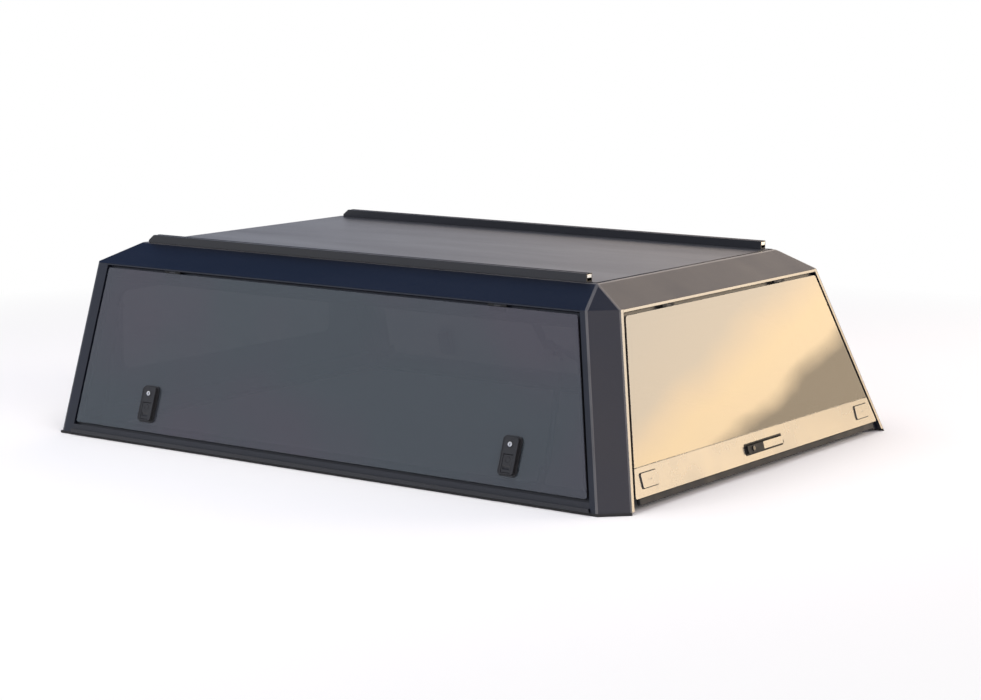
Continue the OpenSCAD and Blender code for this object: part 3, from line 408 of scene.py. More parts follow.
def opened(piece, rim, edge):
    """Opens the middle of a flat piece that is in edit mode, and rounds its rims."""
    choose_faces(piece, lambda f: abs(f.normal.z) > 0.9)
    bpy.ops.mesh.inset(thickness=rim)
    bpy.ops.mesh.bridge_edge_loops()
    bpy.ops.mesh.select_all(action="SELECT")
    bpy.ops.mesh.normals_make_consistent(inside=False)
    bpy.ops.object.mode_set(mode="OBJECT")
    rounded(piece, edge)
    return piece


def new_frame(name, width, height, depth, rounding, rim, edge):
    """A rounded bezel with an open middle."""
    piece = new_bar(name, width, height, depth, rounding)
    bpy.ops.object.mode_set(mode="EDIT")
    bpy.ops.mesh.select_mode(type="FACE")
    return opened(piece, rim, edge)


def new_collar(name, outer, inner, height, edge):
    """A round collar with an open middle."""
    return opened(new_disc(name, outer, height), outer - inner, edge)


def new_ring(name, major, minor):
    """A wire ring, flattened as it sits in its face."""
    bpy.ops.object.select_all(action="DESELECT")
    bpy.ops.mesh.primitive_torus_add(major_radius=major, minor_radius=minor, major_segments=40,
                                     minor_segments=10)
    piece = bpy.context.object
    piece.name = name
    bpy.ops.object.mode_set(mode="EDIT")
    bpy.ops.mesh.select_all(action="SELECT")
    bpy.ops.transform.resize(value=(1, 1, 0.7))
    bpy.ops.object.mode_set(mode="OBJECT")
    return piece


def new_screw(radius):
    """A button head with a round socket."""
    piece = new_disc("screw_master", radius, radius * 0.55, sides=20)
    choose_faces(piece, lambda f: f.normal.z > 0.9)
    bpy.ops.mesh.inset(thickness=radius * 0.45)
    bpy.ops.mesh.extrude_region_move(TRANSFORM_OT_translate={"value": (0, 0, -radius * 0.3)})
    bpy.ops.object.mode_set(mode="OBJECT")
    rounded(piece, radius * 0.13)
    return piece


# Finishes


# Sockets of a Mix node that mixes colours
MIX_FACTOR = 0
MIX_FIRST = 6
MIX_SECOND = 7
MIX_RESULT = 2


class Finish:
    """A node material in the making."""

    def __init__(self, name):
        self.material = bpy.data.materials.new(name)
        self.material.use_nodes = True
        self.tree = self.material.node_tree
        self.shader = self.tree.nodes["Principled BSDF"]
        self.coordinates = self.add("ShaderNodeTexCoord").outputs["Object"]

    def add(self, kind, inputs=(), **settings):
        node = self.tree.nodes.new(kind)
        for name, value in settings.items():
            setattr(node, name, value)
        for name, value in dict(inputs).items():
            if isinstance(value, bpy.types.NodeSocket):
                self.tree.links.new(value, node.inputs[name])
            else:
                node.inputs[name].default_value = value
        return node

    def set(self, **values):
        for name, value in values.items():
            self.shader.inputs[name.replace("_", " ")].default_value = value

    def link(self, socket, name):
        self.tree.links.new(socket, self.shader.inputs[name])

    def noise(self, scale, detail=2.0, roughness=0.5, vector=None):
        return self.add("ShaderNodeTexNoise", {"Vector": vector or self.coordinates, "Scale": scale,
                                               "Detail": detail, "Roughness": roughness}).outputs["Fac"]

    def ranged(self, value, low, high, to_low, to_high):
        return self.add("ShaderNodeMapRange", {"Value": value, "From Min": low, "From Max": high,
                                               "To Min": to_low, "To Max": to_high}).outputs["Result"]

    def mixed(self, factor, first, second):
        node = self.add("ShaderNodeMix", data_type="RGBA")
        for index, value in ((MIX_FACTOR, factor), (MIX_FIRST, first), (MIX_SECOND, second)):
            if isinstance(value, bpy.types.NodeSocket):
                self.tree.links.new(value, node.inputs[index])
            else:
                node.inputs[index].default_value = value
        return node.outputs[MIX_RESULT]

    def bumped(self, heights):
        """Chains bumps, each given as a height, a strength and a distance."""
        normal = None
        for height, strength, distance in heights:
            inputs = {"Height": height, "Strength": strength, "Distance": distance}
            if normal is not None:
                inputs["Normal"] = normal
            normal = self.add("ShaderNodeBump", inputs).outputs["Normal"]
        self.link(normal, "Normal")


def colour(value, gain=1.0):
    return tuple(min(c * gain, 1.0) for c in value) + (1.0,)


def set_stops(ramp, bands):
    """Gives a colour ramp its stops, each as a place and a tone."""
    stops = ramp.color_ramp.elements
    while len(stops) < len(bands):
        stops.new(0.5)
    for stop, (position, tone) in zip(stops, bands):
        stop.position = position
        stop.color = tone + (1.0,)


def powder_coat(name, value, low_rough, high_rough, dust_and_sheen=None, dust_and_sheen_share=0.0, grain=0.5):
    """Textured powder coat with fine grain and faint clouds, lighter in streaks on what faces up: partly dust
    and partly a painted sheen of the sky on the top.
    """
    finish = Finish(name)
    drawn = finish.add("ShaderNodeMapping", {"Vector": finish.coordinates, "Scale": (1.0, 0.16, 1.0)})
    clouds = finish.noise(7.0, 4.0, 0.6, drawn.outputs["Vector"])
    shade = finish.mixed(finish.ranged(clouds, 0.3, 0.7, 0.0, 1.0), colour(value, 0.82), colour(value, 1.2))
    # Faces that point up are lightened in streaks: dust, and with it a painted sheen of the sky.
    if dust_and_sheen is not None:
        normal = finish.add("ShaderNodeNewGeometry").outputs["Normal"]
        up = finish.add("ShaderNodeSeparateXYZ", {"Vector": normal}).outputs["Z"]
        facing = finish.ranged(up, 0.96, 0.995, 0.0, 1.0)
        streaks = finish.ranged(finish.noise(38.0, 6.0, 0.65, drawn.outputs["Vector"]), 0.3, 0.7, 0.66, 1.0)
        share = finish.add("ShaderNodeMath", {0: facing, 1: streaks}, operation="MULTIPLY").outputs[0]
        share = finish.add("ShaderNodeMath", {0: share, 1: dust_and_sheen_share}, operation="MULTIPLY").outputs[0]
        shade = finish.mixed(share, shade, colour(dust_and_sheen))
    finish.link(shade, "Base Color")
    finish.link(finish.ranged(clouds, 0.3, 0.7, low_rough, high_rough), "Roughness")
    finish.bumped(((finish.noise(620.0, 2.0), grain, 0.0004), (finish.noise(150.0, 2.0), 0.12, 0.001)))
    finish.set(Specular_IOR_Level=0.5)


def tinted_glass(name, value, other, alpha, index):
    """Dark filmed glass that lets some light through; its film drifts between two tints."""
    finish = Finish(name)
    marks = finish.noise(9.0, 5.0, 0.7)
    film = finish.ranged(finish.noise(1.5, 2.0), 0.4, 0.6, 0.0, 1.0)
    finish.link(finish.mixed(film, colour(value), colour(other)), "Base Color")
    finish.link(finish.ranged(marks, 0.35, 0.65, 0.015, 0.035), "Roughness")
    finish.set(Alpha=alpha, IOR=index)


def moulded_plastic(name, value, roughness, shine=0.5):
    finish = Finish(name)
    finish.set(Specular_IOR_Level=shine)
    finish.link(finish.mixed(finish.noise(60.0, 2.0), colour(value, 0.85), colour(value, 1.2)), "Base Color")
    finish.link(finish.ranged(finish.noise(40.0, 3.0), 0.3, 0.7, roughness - 0.05, roughness + 0.06),
                "Roughness")
    finish.bumped(((finish.noise(1400.0, 2.0), 0.25, 0.0002),))


def seal_rubber(name, value):
    finish = Finish(name)
    bloom = finish.noise(25.0, 5.0, 0.6)
    finish.link(finish.mixed(finish.ranged(bloom, 0.4, 0.8, 0.0, 1.0), colour(value, 0.9),
                             colour(value, 1.7)), "Base Color")
    finish.link(finish.ranged(bloom, 0.3, 0.7, 0.62, 0.8), "Roughness")
    finish.bumped(((finish.noise(900.0, 2.0), 0.3, 0.0003),))


def bare_metal(name, value, roughness):
    finish = Finish(name)
    brushing = finish.add("ShaderNodeMapping", {"Vector": finish.coordinates, "Scale": (40, 900, 40)})
    lines = finish.noise(1.0, 2.0, 0.5, brushing.outputs["Vector"])
    finish.link(finish.mixed(lines, colour(value, 0.9), colour(value, 1.05)), "Base Color")
    finish.link(finish.ranged(lines, 0.3, 0.7, roughness * 0.8, roughness * 1.3), "Roughness")
    finish.bumped(((lines, 0.05, 0.0002),))
    finish.set(Metallic=1.0)


def gloss_paint(name, value, roughness):
    """Smooth dark paint whose tone and roughness drift a little."""
    finish = Finish(name)
    clouds = finish.noise(7.0, 4.0, 0.6)
    finish.link(finish.mixed(clouds, colour(value, 0.85), colour(value, 1.15)), "Base Color")
    finish.link(finish.ranged(clouds, 0.3, 0.7, roughness - 0.03, roughness + 0.05), "Roughness")
    finish.set(IOR=2.3)


class CANOPY_OT_finishes(bpy.types.Operator):
    """Makes the finishes of the canopy"""

    bl_idname = "canopy.finishes"
    bl_label = "Make Finishes"

    def execute(self, context):
        tones = context.scene.canopy_colours
        powder_coat("shell_coat", tones.shell, 0.35, 0.41, dust_and_sheen=tones.dust_and_sheen, dust_and_sheen_share=0.4)
        # A lighter coat for the rounded folds: a painted highlight along each fold.
        powder_coat("fold_highlight_coat", tones.fold, 0.3, 0.4, grain=0.2)
        powder_coat("inner_coat", tones.shell, 0.5, 0.62)
        powder_coat("rail_coat", tones.rail, 0.36, 0.46, grain=0.25)
        gloss_paint("strip_coat", tones.strip, roughness=0.26)
        tinted_glass("side_glass_tint", tones.side_glass, tones.side_film, alpha=0.72, index=1.75)
        tinted_glass("rear_glass_tint", tones.rear_glass, tones.rear_glass, alpha=0.86, index=2.2)
        seal_rubber("seal_rubber", tones.rubber)
        moulded_plastic("black_plastic", tones.fittings, roughness=0.4)
        moulded_plastic("matt_black", tones.rubber, roughness=0.6, shine=0.25)
        powder_coat("black_bracket", tones.fittings, 0.45, 0.55, grain=0.3)
        bare_metal("bright_metal", tones.bright, roughness=0.14)
        bare_metal("screw_steel", (0.45, 0.45, 0.45), roughness=0.3)
        bare_metal("dark_steel", (0.1, 0.095, 0.09), roughness=0.3)
        return {"FINISHED"}


# Pieces


class CANOPY_OT_shell(bpy.types.Operator):
    """Finishes the roof, posts, headers, sills and front wall"""

    bl_idname = "canopy.shell"
    bl_label = "Finish Shell"

    def execute(self, context):
        edges = context.scene.canopy_edges
        folded("roof_panel", "roof_sheet", edges.fold, "shell_coat", "fold_highlight_coat")
        for side in ("left", "right"):
            # The outer rear faces of each rear post get a painted sheen of the low sun.
            paint_rear_sheen(folded(side + "_rear_post", side + "_rear_post_sheet", edges.fold * 0.8,
                              "shell_coat", "fold_highlight_coat", low=30))
            edged(side + "_front_post", side + "_front_post_tube", "canopy", "shell_coat",
                  edges.metal, smooth=30)
            edged(side + "_sill", side + "_sill_trim", "canopy", "rail_coat", edges.metal)
            edged(side + "_header", side + "_header_box", "canopy", "shell_coat",
                  edges.metal)
        # The outer rear faces of the rear header get a painted sheen of the low sun.
        paint_rear_sheen(edged("rear_header", "rear_header_box", "canopy", "shell_coat",
                         edges.metal))
        for node in ("front_wall", "front_header", "front_sill", "roof_bows"):
            paint_node(node, "inner_coat")
        return {"FINISHED"}


def paint_node(node, finish):
    """Gives a CAD node that keeps its shape a finish."""
    piece = frame["nodes"][node]
    piece.data.materials.clear()
    piece.data.materials.append(bpy.data.materials[finish])


def rail_plug(side):
    """A bright plug set into the cut rear end of a rail."""
    rail = bpy.data.objects[side + "_rail_profile"]
    corners = [v.co for v in rail.data.vertices]
    low = [min(c[i] for c in corners) for i in range(3)]
    high = [max(c[i] for c in corners) for i in range(3)]
    margin = 0.0035
    depth = 0.0012
    plug = new_bar(side + "_rail_plug", high[0] - low[0] - 2 * margin, high[2] - low[2] - 2 * margin,
                   depth, rounding=0.002)
    outward = Matrix(((1, 0, 0), (0, 0, -1), (0, 1, 0))).to_4x4()
    centre = ((low[0] + high[0]) / 2, low[1] + depth, (low[2] + high[2]) / 2)
    placed(plug, Matrix.Translation(centre) @ outward)
    rounded(plug, 0.0004)
    finish_piece(plug, "canopy", ("bright_metal",))


class CANOPY_OT_rails(bpy.types.Operator):
    """Finishes the roof rails and plugs their ends"""

    bl_idname = "canopy.rails"
    bl_label = "Finish Rails"

    def execute(self, context):
        edges = context.scene.canopy_edges
        for side in ("left", "right"):
            edged(side + "_roof_rail", side + "_rail_profile", "canopy", "rail_coat",
                  edges.metal * 1.2)
            rail_plug(side)
        return {"FINISHED"}


class CANOPY_OT_glazing(bpy.types.Operator):
    """Finishes the panes with ground edges"""

    bl_idname = "canopy.glazing"
    bl_label = "Finish Glazing"

    def execute(self, context):
        edges = context.scene.canopy_edges
        for side in ("left", "right"):
            edged(side + "_door_glass", side + "_door_pane", side + "_door",
                  "side_glass_tint", edges.glass, smooth=25)
        edged("rear_door_glass", "rear_door_pane", "rear_door", "rear_glass_tint",
              edges.glass, smooth=25)
        paint_node("front_window_glass", "side_glass_tint")
        return {"FINISHED"}


class CANOPY_OT_seals(bpy.types.Operator):
    """Finishes the rubber profiles"""

    bl_idname = "canopy.seals"
    bl_label = "Finish Seals"

    def execute(self, context):
        edges = context.scene.canopy_edges
        base_edge = edges.rubber * 0.6
        for side in ("left", "right"):
            edged(side + "_base_seal", side + "_base_rubber", "canopy", "seal_rubber",
                  base_edge, segments=3)
            edged(side + "_door_seal", side + "_door_bulb", "canopy", "seal_rubber",
                  edges.rubber, segments=3)
        edged("front_base_seal", "front_base_rubber", "canopy", "seal_rubber", base_edge,
              segments=3)
        edged("rear_door_seal", "rear_door_bulb", "canopy", "seal_rubber", edges.rubber,
              segments=3)
        edged("front_window_rubber", "front_window_gasket", "canopy", "seal_rubber",
              edges.rubber, segments=3)
        edged("rear_door_sweep", "rear_sweep_rubber", "rear_door", "seal_rubber",
              edges.rubber, segments=3)
        return {"FINISHED"}


class CANOPY_OT_side_fittings(bpy.types.Operator):
    """Finishes latches, paddles, keys and hinges of the side doors"""

    bl_idname = "canopy.side_fittings"
    bl_label = "Finish Side Fittings"

    def execute(self, context):
        edges = context.scene.canopy_edges
        latches = context.scene.canopy_latches
        faces = context.scene.canopy_faces
        up = latches.middle_z / math.cos(faces.side_lean)
        struts = context.scene.canopy_struts
        key, keyhole = new_key(latches.key_radius, latches.key_height)
        bezel = new_frame("bezel_master", latches.bezel_width, latches.bezel_height,
                          latches.bezel_depth, latches.bezel_corner, latches.bezel_rim,
                          latches.bezel_depth / 4)
        ring = new_ring("ring_master", latches.ring_radius, latches.ring_wire)
        screw = new_screw(struts.screw)
        key_out = 0.0005
        bezel_in = 0.0003
        ring_in = 0.0008
        screw_depths = (0.034, 0.058)
        laid = Matrix.Rotation(math.radians(-90), 4, "X")
        for side, face, sign in (("left", left_face, -1), ("right", right_face, 1)):
            edged(side + "_door_fittings", side + "_door_hardware", side + "_door",
                  "black_plastic", edges.moulded * 0.5, angle=28)
            for end, place in (("front", latches.front_y), ("rear", latches.rear_y)):
                name = side + "_" + end
                edged(name + "_paddle", name + "_paddle_grip", name + "_paddle",
                      "black_plastic", edges.moulded * 0.5, angle=28)
                at = face(sign * place, up, latches.depth)
                key_at = at @ Matrix.Translation((0, latches.key_up, key_out))
                fitted(key, name + "_key", key_at, side + "_door", "bright_metal")
                fitted(keyhole, name + "_keyhole", key_at, side + "_door",
                       "black_plastic")
                fitted(bezel, name + "_latch_bezel", at @ Matrix.Translation((0, 0, -bezel_in)),
                       side + "_door", "black_plastic")
                fitted(ring, name + "_paddle_ring",
                       at @ Matrix.Translation((0, -latches.ring_down, -ring_in)),
                       name + "_paddle", "black_plastic", smooth=60)
                foot_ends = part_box(side + "_strut_brackets")
                if end == "front":
                    screw_y = foot_ends[1].y - struts.screw_in
                else:
                    screw_y = foot_ends[0].y + struts.screw_in
                for number, depth in enumerate(screw_depths):
                    top = face(sign * screw_y, struts.foot_top, -depth)
                    fitted(screw, "%s_bracket_screw_%d" % (name, number + 1), top @ laid, "canopy",
                           "screw_steel")
            paint_node(side + "_fixed_hinges", "matt_black")
            paint_node(side + "_strut_brackets", "black_bracket")
            paint_node(side + "_strut_hanger", "black_bracket")
        put_away(key, keyhole, bezel, ring, screw)
        return {"FINISHED"}


class CANOPY_OT_rear_fittings(bpy.types.Operator):
    """Finishes the strip, covers, handle and lever of the rear door"""

    bl_idname = "canopy.rear_fittings"
    bl_label = "Finish Rear Fittings"

    def execute(self, context):
        edges = context.scene.canopy_edges
        strip = context.scene.canopy_strip
        upright = 1 / math.cos(context.scene.canopy_faces.rear_lean)
        edged("rear_door_strip", "rear_strip_panel", "rear_door", "strip_coat",
              edges.metal)
        edged("rear_strip_covers", "rear_strip_caps", "rear_door", "strip_coat",
              edges.metal)
        edged("rear_handle_pan", "rear_handle_recess", "rear_door", "matt_black",
              edges.metal)
        edged("rear_handle_lever", "rear_handle_grip", "rear_handle_lever", "strip_coat",
              edges.moulded)
        edged("rear_door_fittings", "rear_door_hardware", "rear_door",
              "black_bracket", edges.metal)
        key_at = rear_face(-strip.key_left, strip.key_z * upright, strip.key_out)
        key, keyhole = new_key(strip.key_radius, strip.key_height)
        fitted(key, "rear_handle_key", key_at, "rear_door", "dark_steel")
        fitted(keyhole, "rear_handle_keyhole", key_at, "rear_door", "black_plastic")
        paint_node("rear_fixed_hinges", "matt_black")
        # A dark rubber frame round each cover, put there as painted shade along the edges of the raised
        # cover.
        shade_frame = new_frame("shade_frame_master", strip.shade_frame_width, strip.shade_frame_height,
                           strip.shade_frame_depth, strip.shade_frame_corner, strip.shade_frame_rim,
                           strip.shade_frame_depth / 4)
        for side, sign in (("left", -1), ("right", 1)):
            fitted(shade_frame, side + "_cover_shade_frame",
                   rear_face(sign * strip.cover_x, strip.cover_z * upright), "rear_door",
                   "seal_rubber")
        put_away(key, keyhole, shade_frame)
        return {"FINISHED"}


STRUTS = ("left_front", "left_rear", "right_front", "right_rear", "rear_left", "rear_right")


def reach_along(node, start, direction):
    """How far a node reaches from a point in a direction."""
    return max((v.co - start).dot(direction) for v in frame["nodes"][node].data.vertices)


class CANOPY_OT_struts(bpy.types.Operator):
    """Finishes the gas struts, with sleeves, spring clips, bands and wipers"""

    bl_idname = "canopy.struts"
    bl_label = "Finish Struts"

    def execute(self, context):
        sizes = context.scene.canopy_struts
        joints = {joint["name"]: joint for joint in frame["joints"]}
        sleeve = new_collar("sleeve_master", sizes.sleeve, sizes.sleeve_hole, sizes.sleeve_length,
                            0.0008)
        band = new_collar("band_master", sizes.band, sizes.band_hole, sizes.band_length, 0.0003)
        wiper = new_collar("wiper_master", sizes.wiper, sizes.wiper_hole, sizes.wiper_length, 0.0005)
        clip_gap = 0.0001
        clip = new_ring("clip_master", sizes.ball + clip_gap, sizes.wire)
        thin_edge = 0.0005
        wiper_in = 0.0002
        overlap = 0.001
        first_sleeve = sizes.ball - overlap
        last_sleeve = overlap - sizes.ball - sizes.sleeve_length
        for name in STRUTS:
            edged(name + "_barrel", name + "_cylinder", name + "_barrel",
                  "rail_coat", thin_edge, segments=1, angle=40)
            edged(name + "_rod", name + "_piston_rod", name + "_rod", "bright_metal",
                  thin_edge, segments=1, angle=40)
            pivot = Vector(joints[name + "_barrel_hinge"]["pos_m"])
            pin = Vector(joints[name + "_barrel_hinge"]["axis"])
            out = Vector(joints[name + "_rod_slide"]["axis"])
            mouth = reach_along(name + "_barrel", pivot, out)
            socket = reach_along(name + "_rod", pivot, out) - sizes.ball
            turned = Matrix((pin, out.cross(pin), out)).transposed().to_4x4()
            across = Matrix((out, pin.cross(out), pin)).transposed().to_4x4()

            def at(distance, axes):
                return Matrix.Translation(pivot + out * distance) @ axes

            for end, body, place, first in (("root", "_barrel", 0, first_sleeve),
                                            ("door", "_rod", socket, socket + last_sleeve)):
                fitted(sleeve, name + "_" + end + "_sleeve", at(first, turned), name + body,
                       "black_plastic")
                fitted(clip, name + "_" + end + "_clip", at(place, across), name + body,
                       "screw_steel", smooth=60)
            fitted(band, name + "_barrel_band", at(mouth - sizes.band_back, turned), name + "_barrel",
                   "rail_coat")
            fitted(wiper, name + "_rod_wiper", at(mouth - wiper_in, turned), name + "_barrel",
                   "seal_rubber")
        put_away(sleeve, band, wiper, clip)
        return {"FINISHED"}


# Light and camera


def lamp(name, place, target, size, power, tone):
    data = bpy.data.lights.new(name, "AREA")
    data.shape = "RECTANGLE"
    data.size, data.size_y = size
    data.energy = power
    data.color = tone
    piece = bpy.data.objects.new(name, data)
    bpy.context.scene.collection.objects.link(piece)
    piece.location = place
    piece.rotation_euler = (Vector(target) - Vector(place)).to_track_quat("-Z", "Y").to_euler()
    piece.visible_glossy = False


def stage_sheet(name, size):
    bpy.ops.object.select_all(action="DESELECT")
    bpy.ops.mesh.primitive_plane_add(size=size)
    piece = bpy.context.object
    piece.name = name
    return piece


def floor_finish(tone):
    """Pale floor that turns to plain white away from the object."""
    finish = Finish("pale_floor")
    finish.link(finish.mixed(finish.noise(3.0, 3.0), colour(tone, 0.99), colour(tone, 1.0)), "Base Color")
    finish.set(Roughness=0.8, Specular_IOR_Level=0.1)
    distance = finish.add("ShaderNodeVectorMath", {0: finish.coordinates}, operation="LENGTH")
    away = finish.ranged(distance.outputs["Value"], 1.7, 4.0, 0.0, 1.0)
    white = finish.add("ShaderNodeEmission", {"Color": (1, 1, 1, 1), "Strength": 1.0})
    mix = finish.add("ShaderNodeMixShader", {"Fac": away})
    output = finish.tree.nodes["Material Output"]
    finish.tree.links.new(finish.shader.outputs[0], mix.inputs[1])
    finish.tree.links.new(white.outputs[0], mix.inputs[2])
    finish.tree.links.new(mix.outputs[0], output.inputs["Surface"])
    return finish.material


def card_finish(strength):
    """Evening sky for the rear glass: a bright warm band over a darker bank, soft at its edges."""
    finish = Finish("evening_card")
    axes = finish.add("ShaderNodeSeparateXYZ", {"Vector": finish.coordinates})

    def tilted(slope, drift):
        """Height above a line that rises by a slope, with a wavering edge."""
        rise = finish.add("ShaderNodeMath", {0: axes.outputs["X"], 1: slope}, operation="MULTIPLY")
        line = finish.add("ShaderNodeMath", {0: axes.outputs["Y"], 1: rise.outputs[0]}, operation="ADD")
        wave = finish.ranged(finish.noise(2.2, 3.0, 0.5), 0.3, 0.7, -drift, drift)
        return finish.add("ShaderNodeMath", {0: line.outputs[0], 1: wave}, operation="ADD").outputs[0]

    sky = finish.add("ShaderNodeValToRGB", {"Fac": finish.ranged(tilted(0.32, 0.05), -1.0, 0.0, 0.0, 1.0)})
    bands = ((0.0, (0.92, 0.69, 0.43)), (0.28, (0.97, 0.72, 0.43)), (0.4, (0.90, 0.68, 0.44)),
             (0.55, (0.75, 0.61, 0.45)), (1.0, (0.72, 0.60, 0.46)))
    set_stops(sky, bands)
    below = finish.ranged(tilted(0.32, 0.05), -0.98, -0.86, 1.0, 0.0)
    above = finish.ranged(tilted(-0.176, 0.0), -0.86, -0.80, 0.0, 1.0)
    bank = finish.add("ShaderNodeMath", {0: below, 1: above}, operation="MULTIPLY").outputs[0]
    tone = finish.mixed(bank, sky.outputs["Color"], (0.32, 0.25, 0.17, 1.0))
    glow = finish.add("ShaderNodeEmission", {"Color": tone, "Strength": strength})

    def faded(axis, start, end):
        """Falls from one to nothing towards both edges of the card."""
        place = finish.add("ShaderNodeMath", {0: axes.outputs[axis]}, operation="ABSOLUTE").outputs[0]
        return finish.ranged(place, start, end, 1.0, 0.0)

    share = finish.add("ShaderNodeMath", {0: faded("X", 1.5, 2.7), 1: faded("Y", 1.2, 1.7)},
                       operation="MULTIPLY").outputs[0]
    clear = finish.add("ShaderNodeBsdfTransparent")
    mix = finish.add("ShaderNodeMixShader", {"Fac": share})
    finish.tree.links.new(clear.outputs[0], mix.inputs[1])
    finish.tree.links.new(glow.outputs[0], mix.inputs[2])
    finish.tree.links.new(mix.outputs[0], finish.tree.nodes["Material Output"].inputs["Surface"])
    return finish.material


# Tones of the sky by height, from 0 at the horizon to 1 at the zenith
SKY_BANDS = ((0.5, (0.76, 0.80, 0.92)), (0.66, (0.035, 0.07, 0.17)), (1.0, (0.025, 0.055, 0.14)))
# Patches of the sky: where they are, the cosines at which they start and are full, and their colour
SKY_PATCHES = (
    ((0.87, 0.16, 0.46), 0.85, 0.96, (1.7, 1.44, 1.25)),
    ((-0.53, -0.76, 0.43), 0.82, 0.96, (1.9, 1.72, 1.76)),
    ((0.25, 0.6, 0.68), 0.76, 0.92, (0.06, 0.11, 0.25)),
)


def sky_world():
    """Bright horizon, glows, a dark bank and a dark zenith, and plain white straight on or through glass."""
    world = bpy.data.worlds.new("studio")
    bpy.context.scene.world = world
    world.use_nodes = True
    tree = world.node_tree
    nodes, links = tree.nodes, tree.links
    nodes.clear()
    direction = nodes.new("ShaderNodeTexCoord").outputs["Generated"]
    parts = nodes.new("ShaderNodeSeparateXYZ")
    links.new(direction, parts.inputs[0])
    ramp = nodes.new("ShaderNodeValToRGB")
    links.new(parts.outputs["Z"], ramp.inputs["Fac"])
    set_stops(ramp, SKY_BANDS)
    tone = ramp.outputs["Color"]
    for aim, first, last, glow_tone in SKY_PATCHES:
        toward = nodes.new("ShaderNodeVectorMath")
        toward.operation = "DOT_PRODUCT"
        links.new(direction, toward.inputs[0])
        toward.inputs[1].default_value = Vector(aim).normalized()
        glow = nodes.new("ShaderNodeMapRange")
        glow.interpolation_type = "SMOOTHSTEP"
        links.new(toward.outputs["Value"], glow.inputs["Value"])
        glow.inputs["From Min"].default_value = first
        glow.inputs["From Max"].default_value = last
        blend = nodes.new("ShaderNodeMix")
        blend.data_type = "RGBA"
        links.new(glow.outputs["Result"], blend.inputs[MIX_FACTOR])
        links.new(tone, blend.inputs[MIX_FIRST])
        blend.inputs[MIX_SECOND].default_value = glow_tone + (1.0,)
        tone = blend.outputs[MIX_RESULT]
    sky = nodes.new("ShaderNodeBackground")
    links.new(tone, sky.inputs["Color"])
    sky.inputs["Strength"].default_value = 1.0
    white = nodes.new("ShaderNodeBackground")
    white.inputs["Color"].default_value = (1, 1, 1, 1)
    path = nodes.new("ShaderNodeLightPath")
    mix = nodes.new("ShaderNodeMixShader")
    output = nodes.new("ShaderNodeOutputWorld")
    seen = nodes.new("ShaderNodeMath")
    seen.operation = "MAXIMUM"
    links.new(path.outputs["Is Camera Ray"], seen.inputs[0])
    links.new(path.outputs["Is Transmission Ray"], seen.inputs[1])
    links.new(seen.outputs[0], mix.inputs["Fac"])
    links.new(sky.outputs[0], mix.inputs[1])
    links.new(white.outputs[0], mix.inputs[2])
    links.new(mix.outputs[0], output.inputs["Surface"])


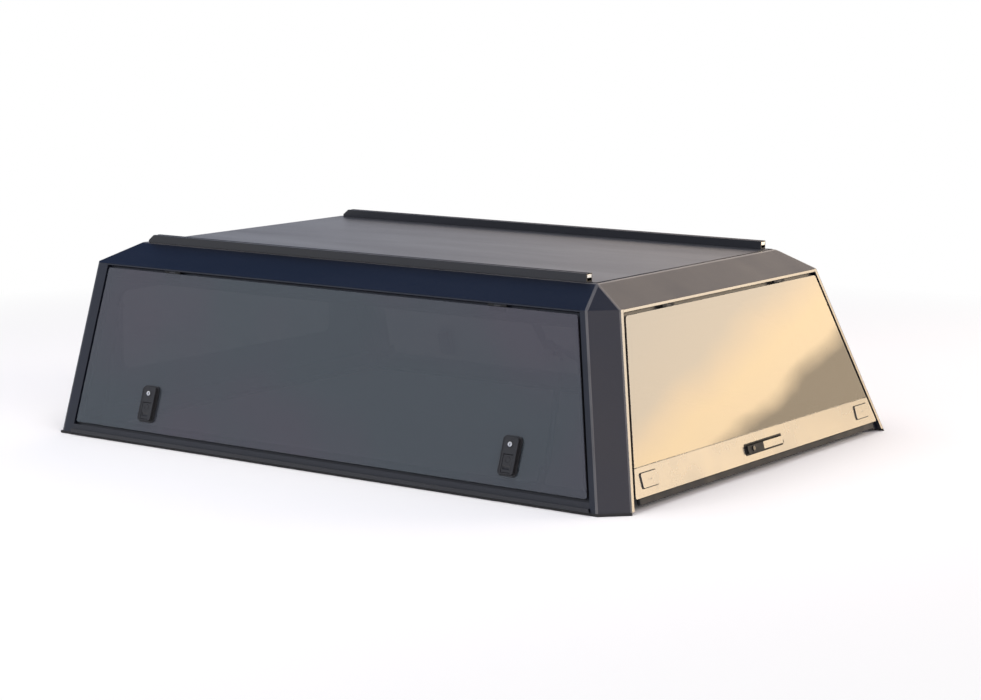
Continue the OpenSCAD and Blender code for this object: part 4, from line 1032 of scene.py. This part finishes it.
class CANOPY_OT_stage(bpy.types.Operator):
    """Sets the floor, the light and the camera"""

    bl_idname = "canopy.stage"
    bl_label = "Set Stage"

    def execute(self, context):
        light = context.scene.canopy_light
        floor = stage_sheet("floor", size=60)
        floor.data.materials.append(floor_finish(light.floor))
        floor.location.z = -0.0005
        card = stage_sheet("evening_card", size=1)
        card.scale = (5.5, 3.4, 1)
        bpy.ops.object.transform_apply(location=False, rotation=False, scale=True)
        card.location = (4.3, -4.05, 1.55)
        rear_middle = Vector((0, -1.0, 0.3))
        card.rotation_euler = (rear_middle - card.location).to_track_quat("Z", "Y").to_euler()
        card.data.materials.append(card_finish(light.card))
        for ray in ("visible_camera", "visible_diffuse", "visible_shadow", "visible_transmission",
                    "visible_volume_scatter"):
            setattr(card, ray, False)
        lamp("low_sun", place=(4.2, -4.2, 2.0), target=(0, -0.7, 0.3), size=(3.0, 2.0),
             power=light.key, tone=(1.0, 0.83, 0.66))
        lamp("top_light", place=(-0.5, 0.5, 4.5), target=(0, 0, 0.3), size=(4.0, 4.0),
             power=light.top, tone=(1.0, 0.97, 0.92))
        lamp("side_fill", place=(-5.5, 1.0, 2.6), target=(0, 0, 0.3), size=(3.0, 2.0),
             power=light.fill, tone=(1.0, 0.98, 0.96))
        sky_world()
        data = bpy.data.cameras.new("camera")
        data.sensor_width = 36
        data.lens = light.lens
        camera = bpy.data.objects.new("camera", data)
        context.scene.collection.objects.link(camera)
        camera.location = light.camera
        camera.rotation_euler = (Vector(light.aim) - Vector(light.camera)).to_track_quat("-Z", "Y").to_euler()
        data.clip_start, data.clip_end = 0.1, 200
        context.scene.camera = camera
        context.scene.view_settings.view_transform = "Standard"
        return {"FINISHED"}


class CANOPY_PT_panel(bpy.types.Panel):
    """Sizes, colours and steps of the canopy"""

    bl_idname = "CANOPY_PT_panel"
    bl_label = "Canopy"
    bl_space_type = "VIEW_3D"
    bl_region_type = "UI"
    bl_category = "Canopy"

    def draw(self, context):
        for key in GROUPS:
            group = getattr(context.scene, key)
            box = self.layout.box()
            for name in group.__annotations__:
                box.prop(group, name)
        for step in STEPS:
            self.layout.operator(step)


GROUPS = {
    "canopy_faces": CanopyFaces,
    "canopy_edges": CanopyEdges,
    "canopy_colours": CanopyColours,
    "canopy_latches": CanopyLatches,
    "canopy_strip": CanopyStrip,
    "canopy_struts": CanopyStruts,
    "canopy_light": CanopyLight,
}
STEPS = ("canopy.finishes", "canopy.shell", "canopy.rails", "canopy.glazing", "canopy.seals",
         "canopy.side_fittings", "canopy.rear_fittings", "canopy.struts", "canopy.stage")
OPERATORS = (CANOPY_OT_finishes, CANOPY_OT_shell, CANOPY_OT_rails, CANOPY_OT_glazing, CANOPY_OT_seals,
             CANOPY_OT_side_fittings, CANOPY_OT_rear_fittings, CANOPY_OT_struts, CANOPY_OT_stage)


def register():
    for kind in (*GROUPS.values(), *OPERATORS, CANOPY_PT_panel):
        bpy.utils.register_class(kind)
    for key, kind in GROUPS.items():
        setattr(bpy.types.Scene, key, PointerProperty(type=kind))


def unregister():
    for key in GROUPS:
        delattr(bpy.types.Scene, key)
    for kind in reversed((*GROUPS.values(), *OPERATORS, CANOPY_PT_panel)):
        bpy.utils.unregister_class(kind)


def main():
    register()
    bpy.ops.canopy.finishes()
    bpy.ops.canopy.shell()
    bpy.ops.canopy.rails()
    bpy.ops.canopy.glazing()
    bpy.ops.canopy.seals()
    bpy.ops.canopy.side_fittings()
    bpy.ops.canopy.rear_fittings()
    bpy.ops.canopy.struts()
    bpy.ops.canopy.stage()


if __name__ == "__main__":
    main()
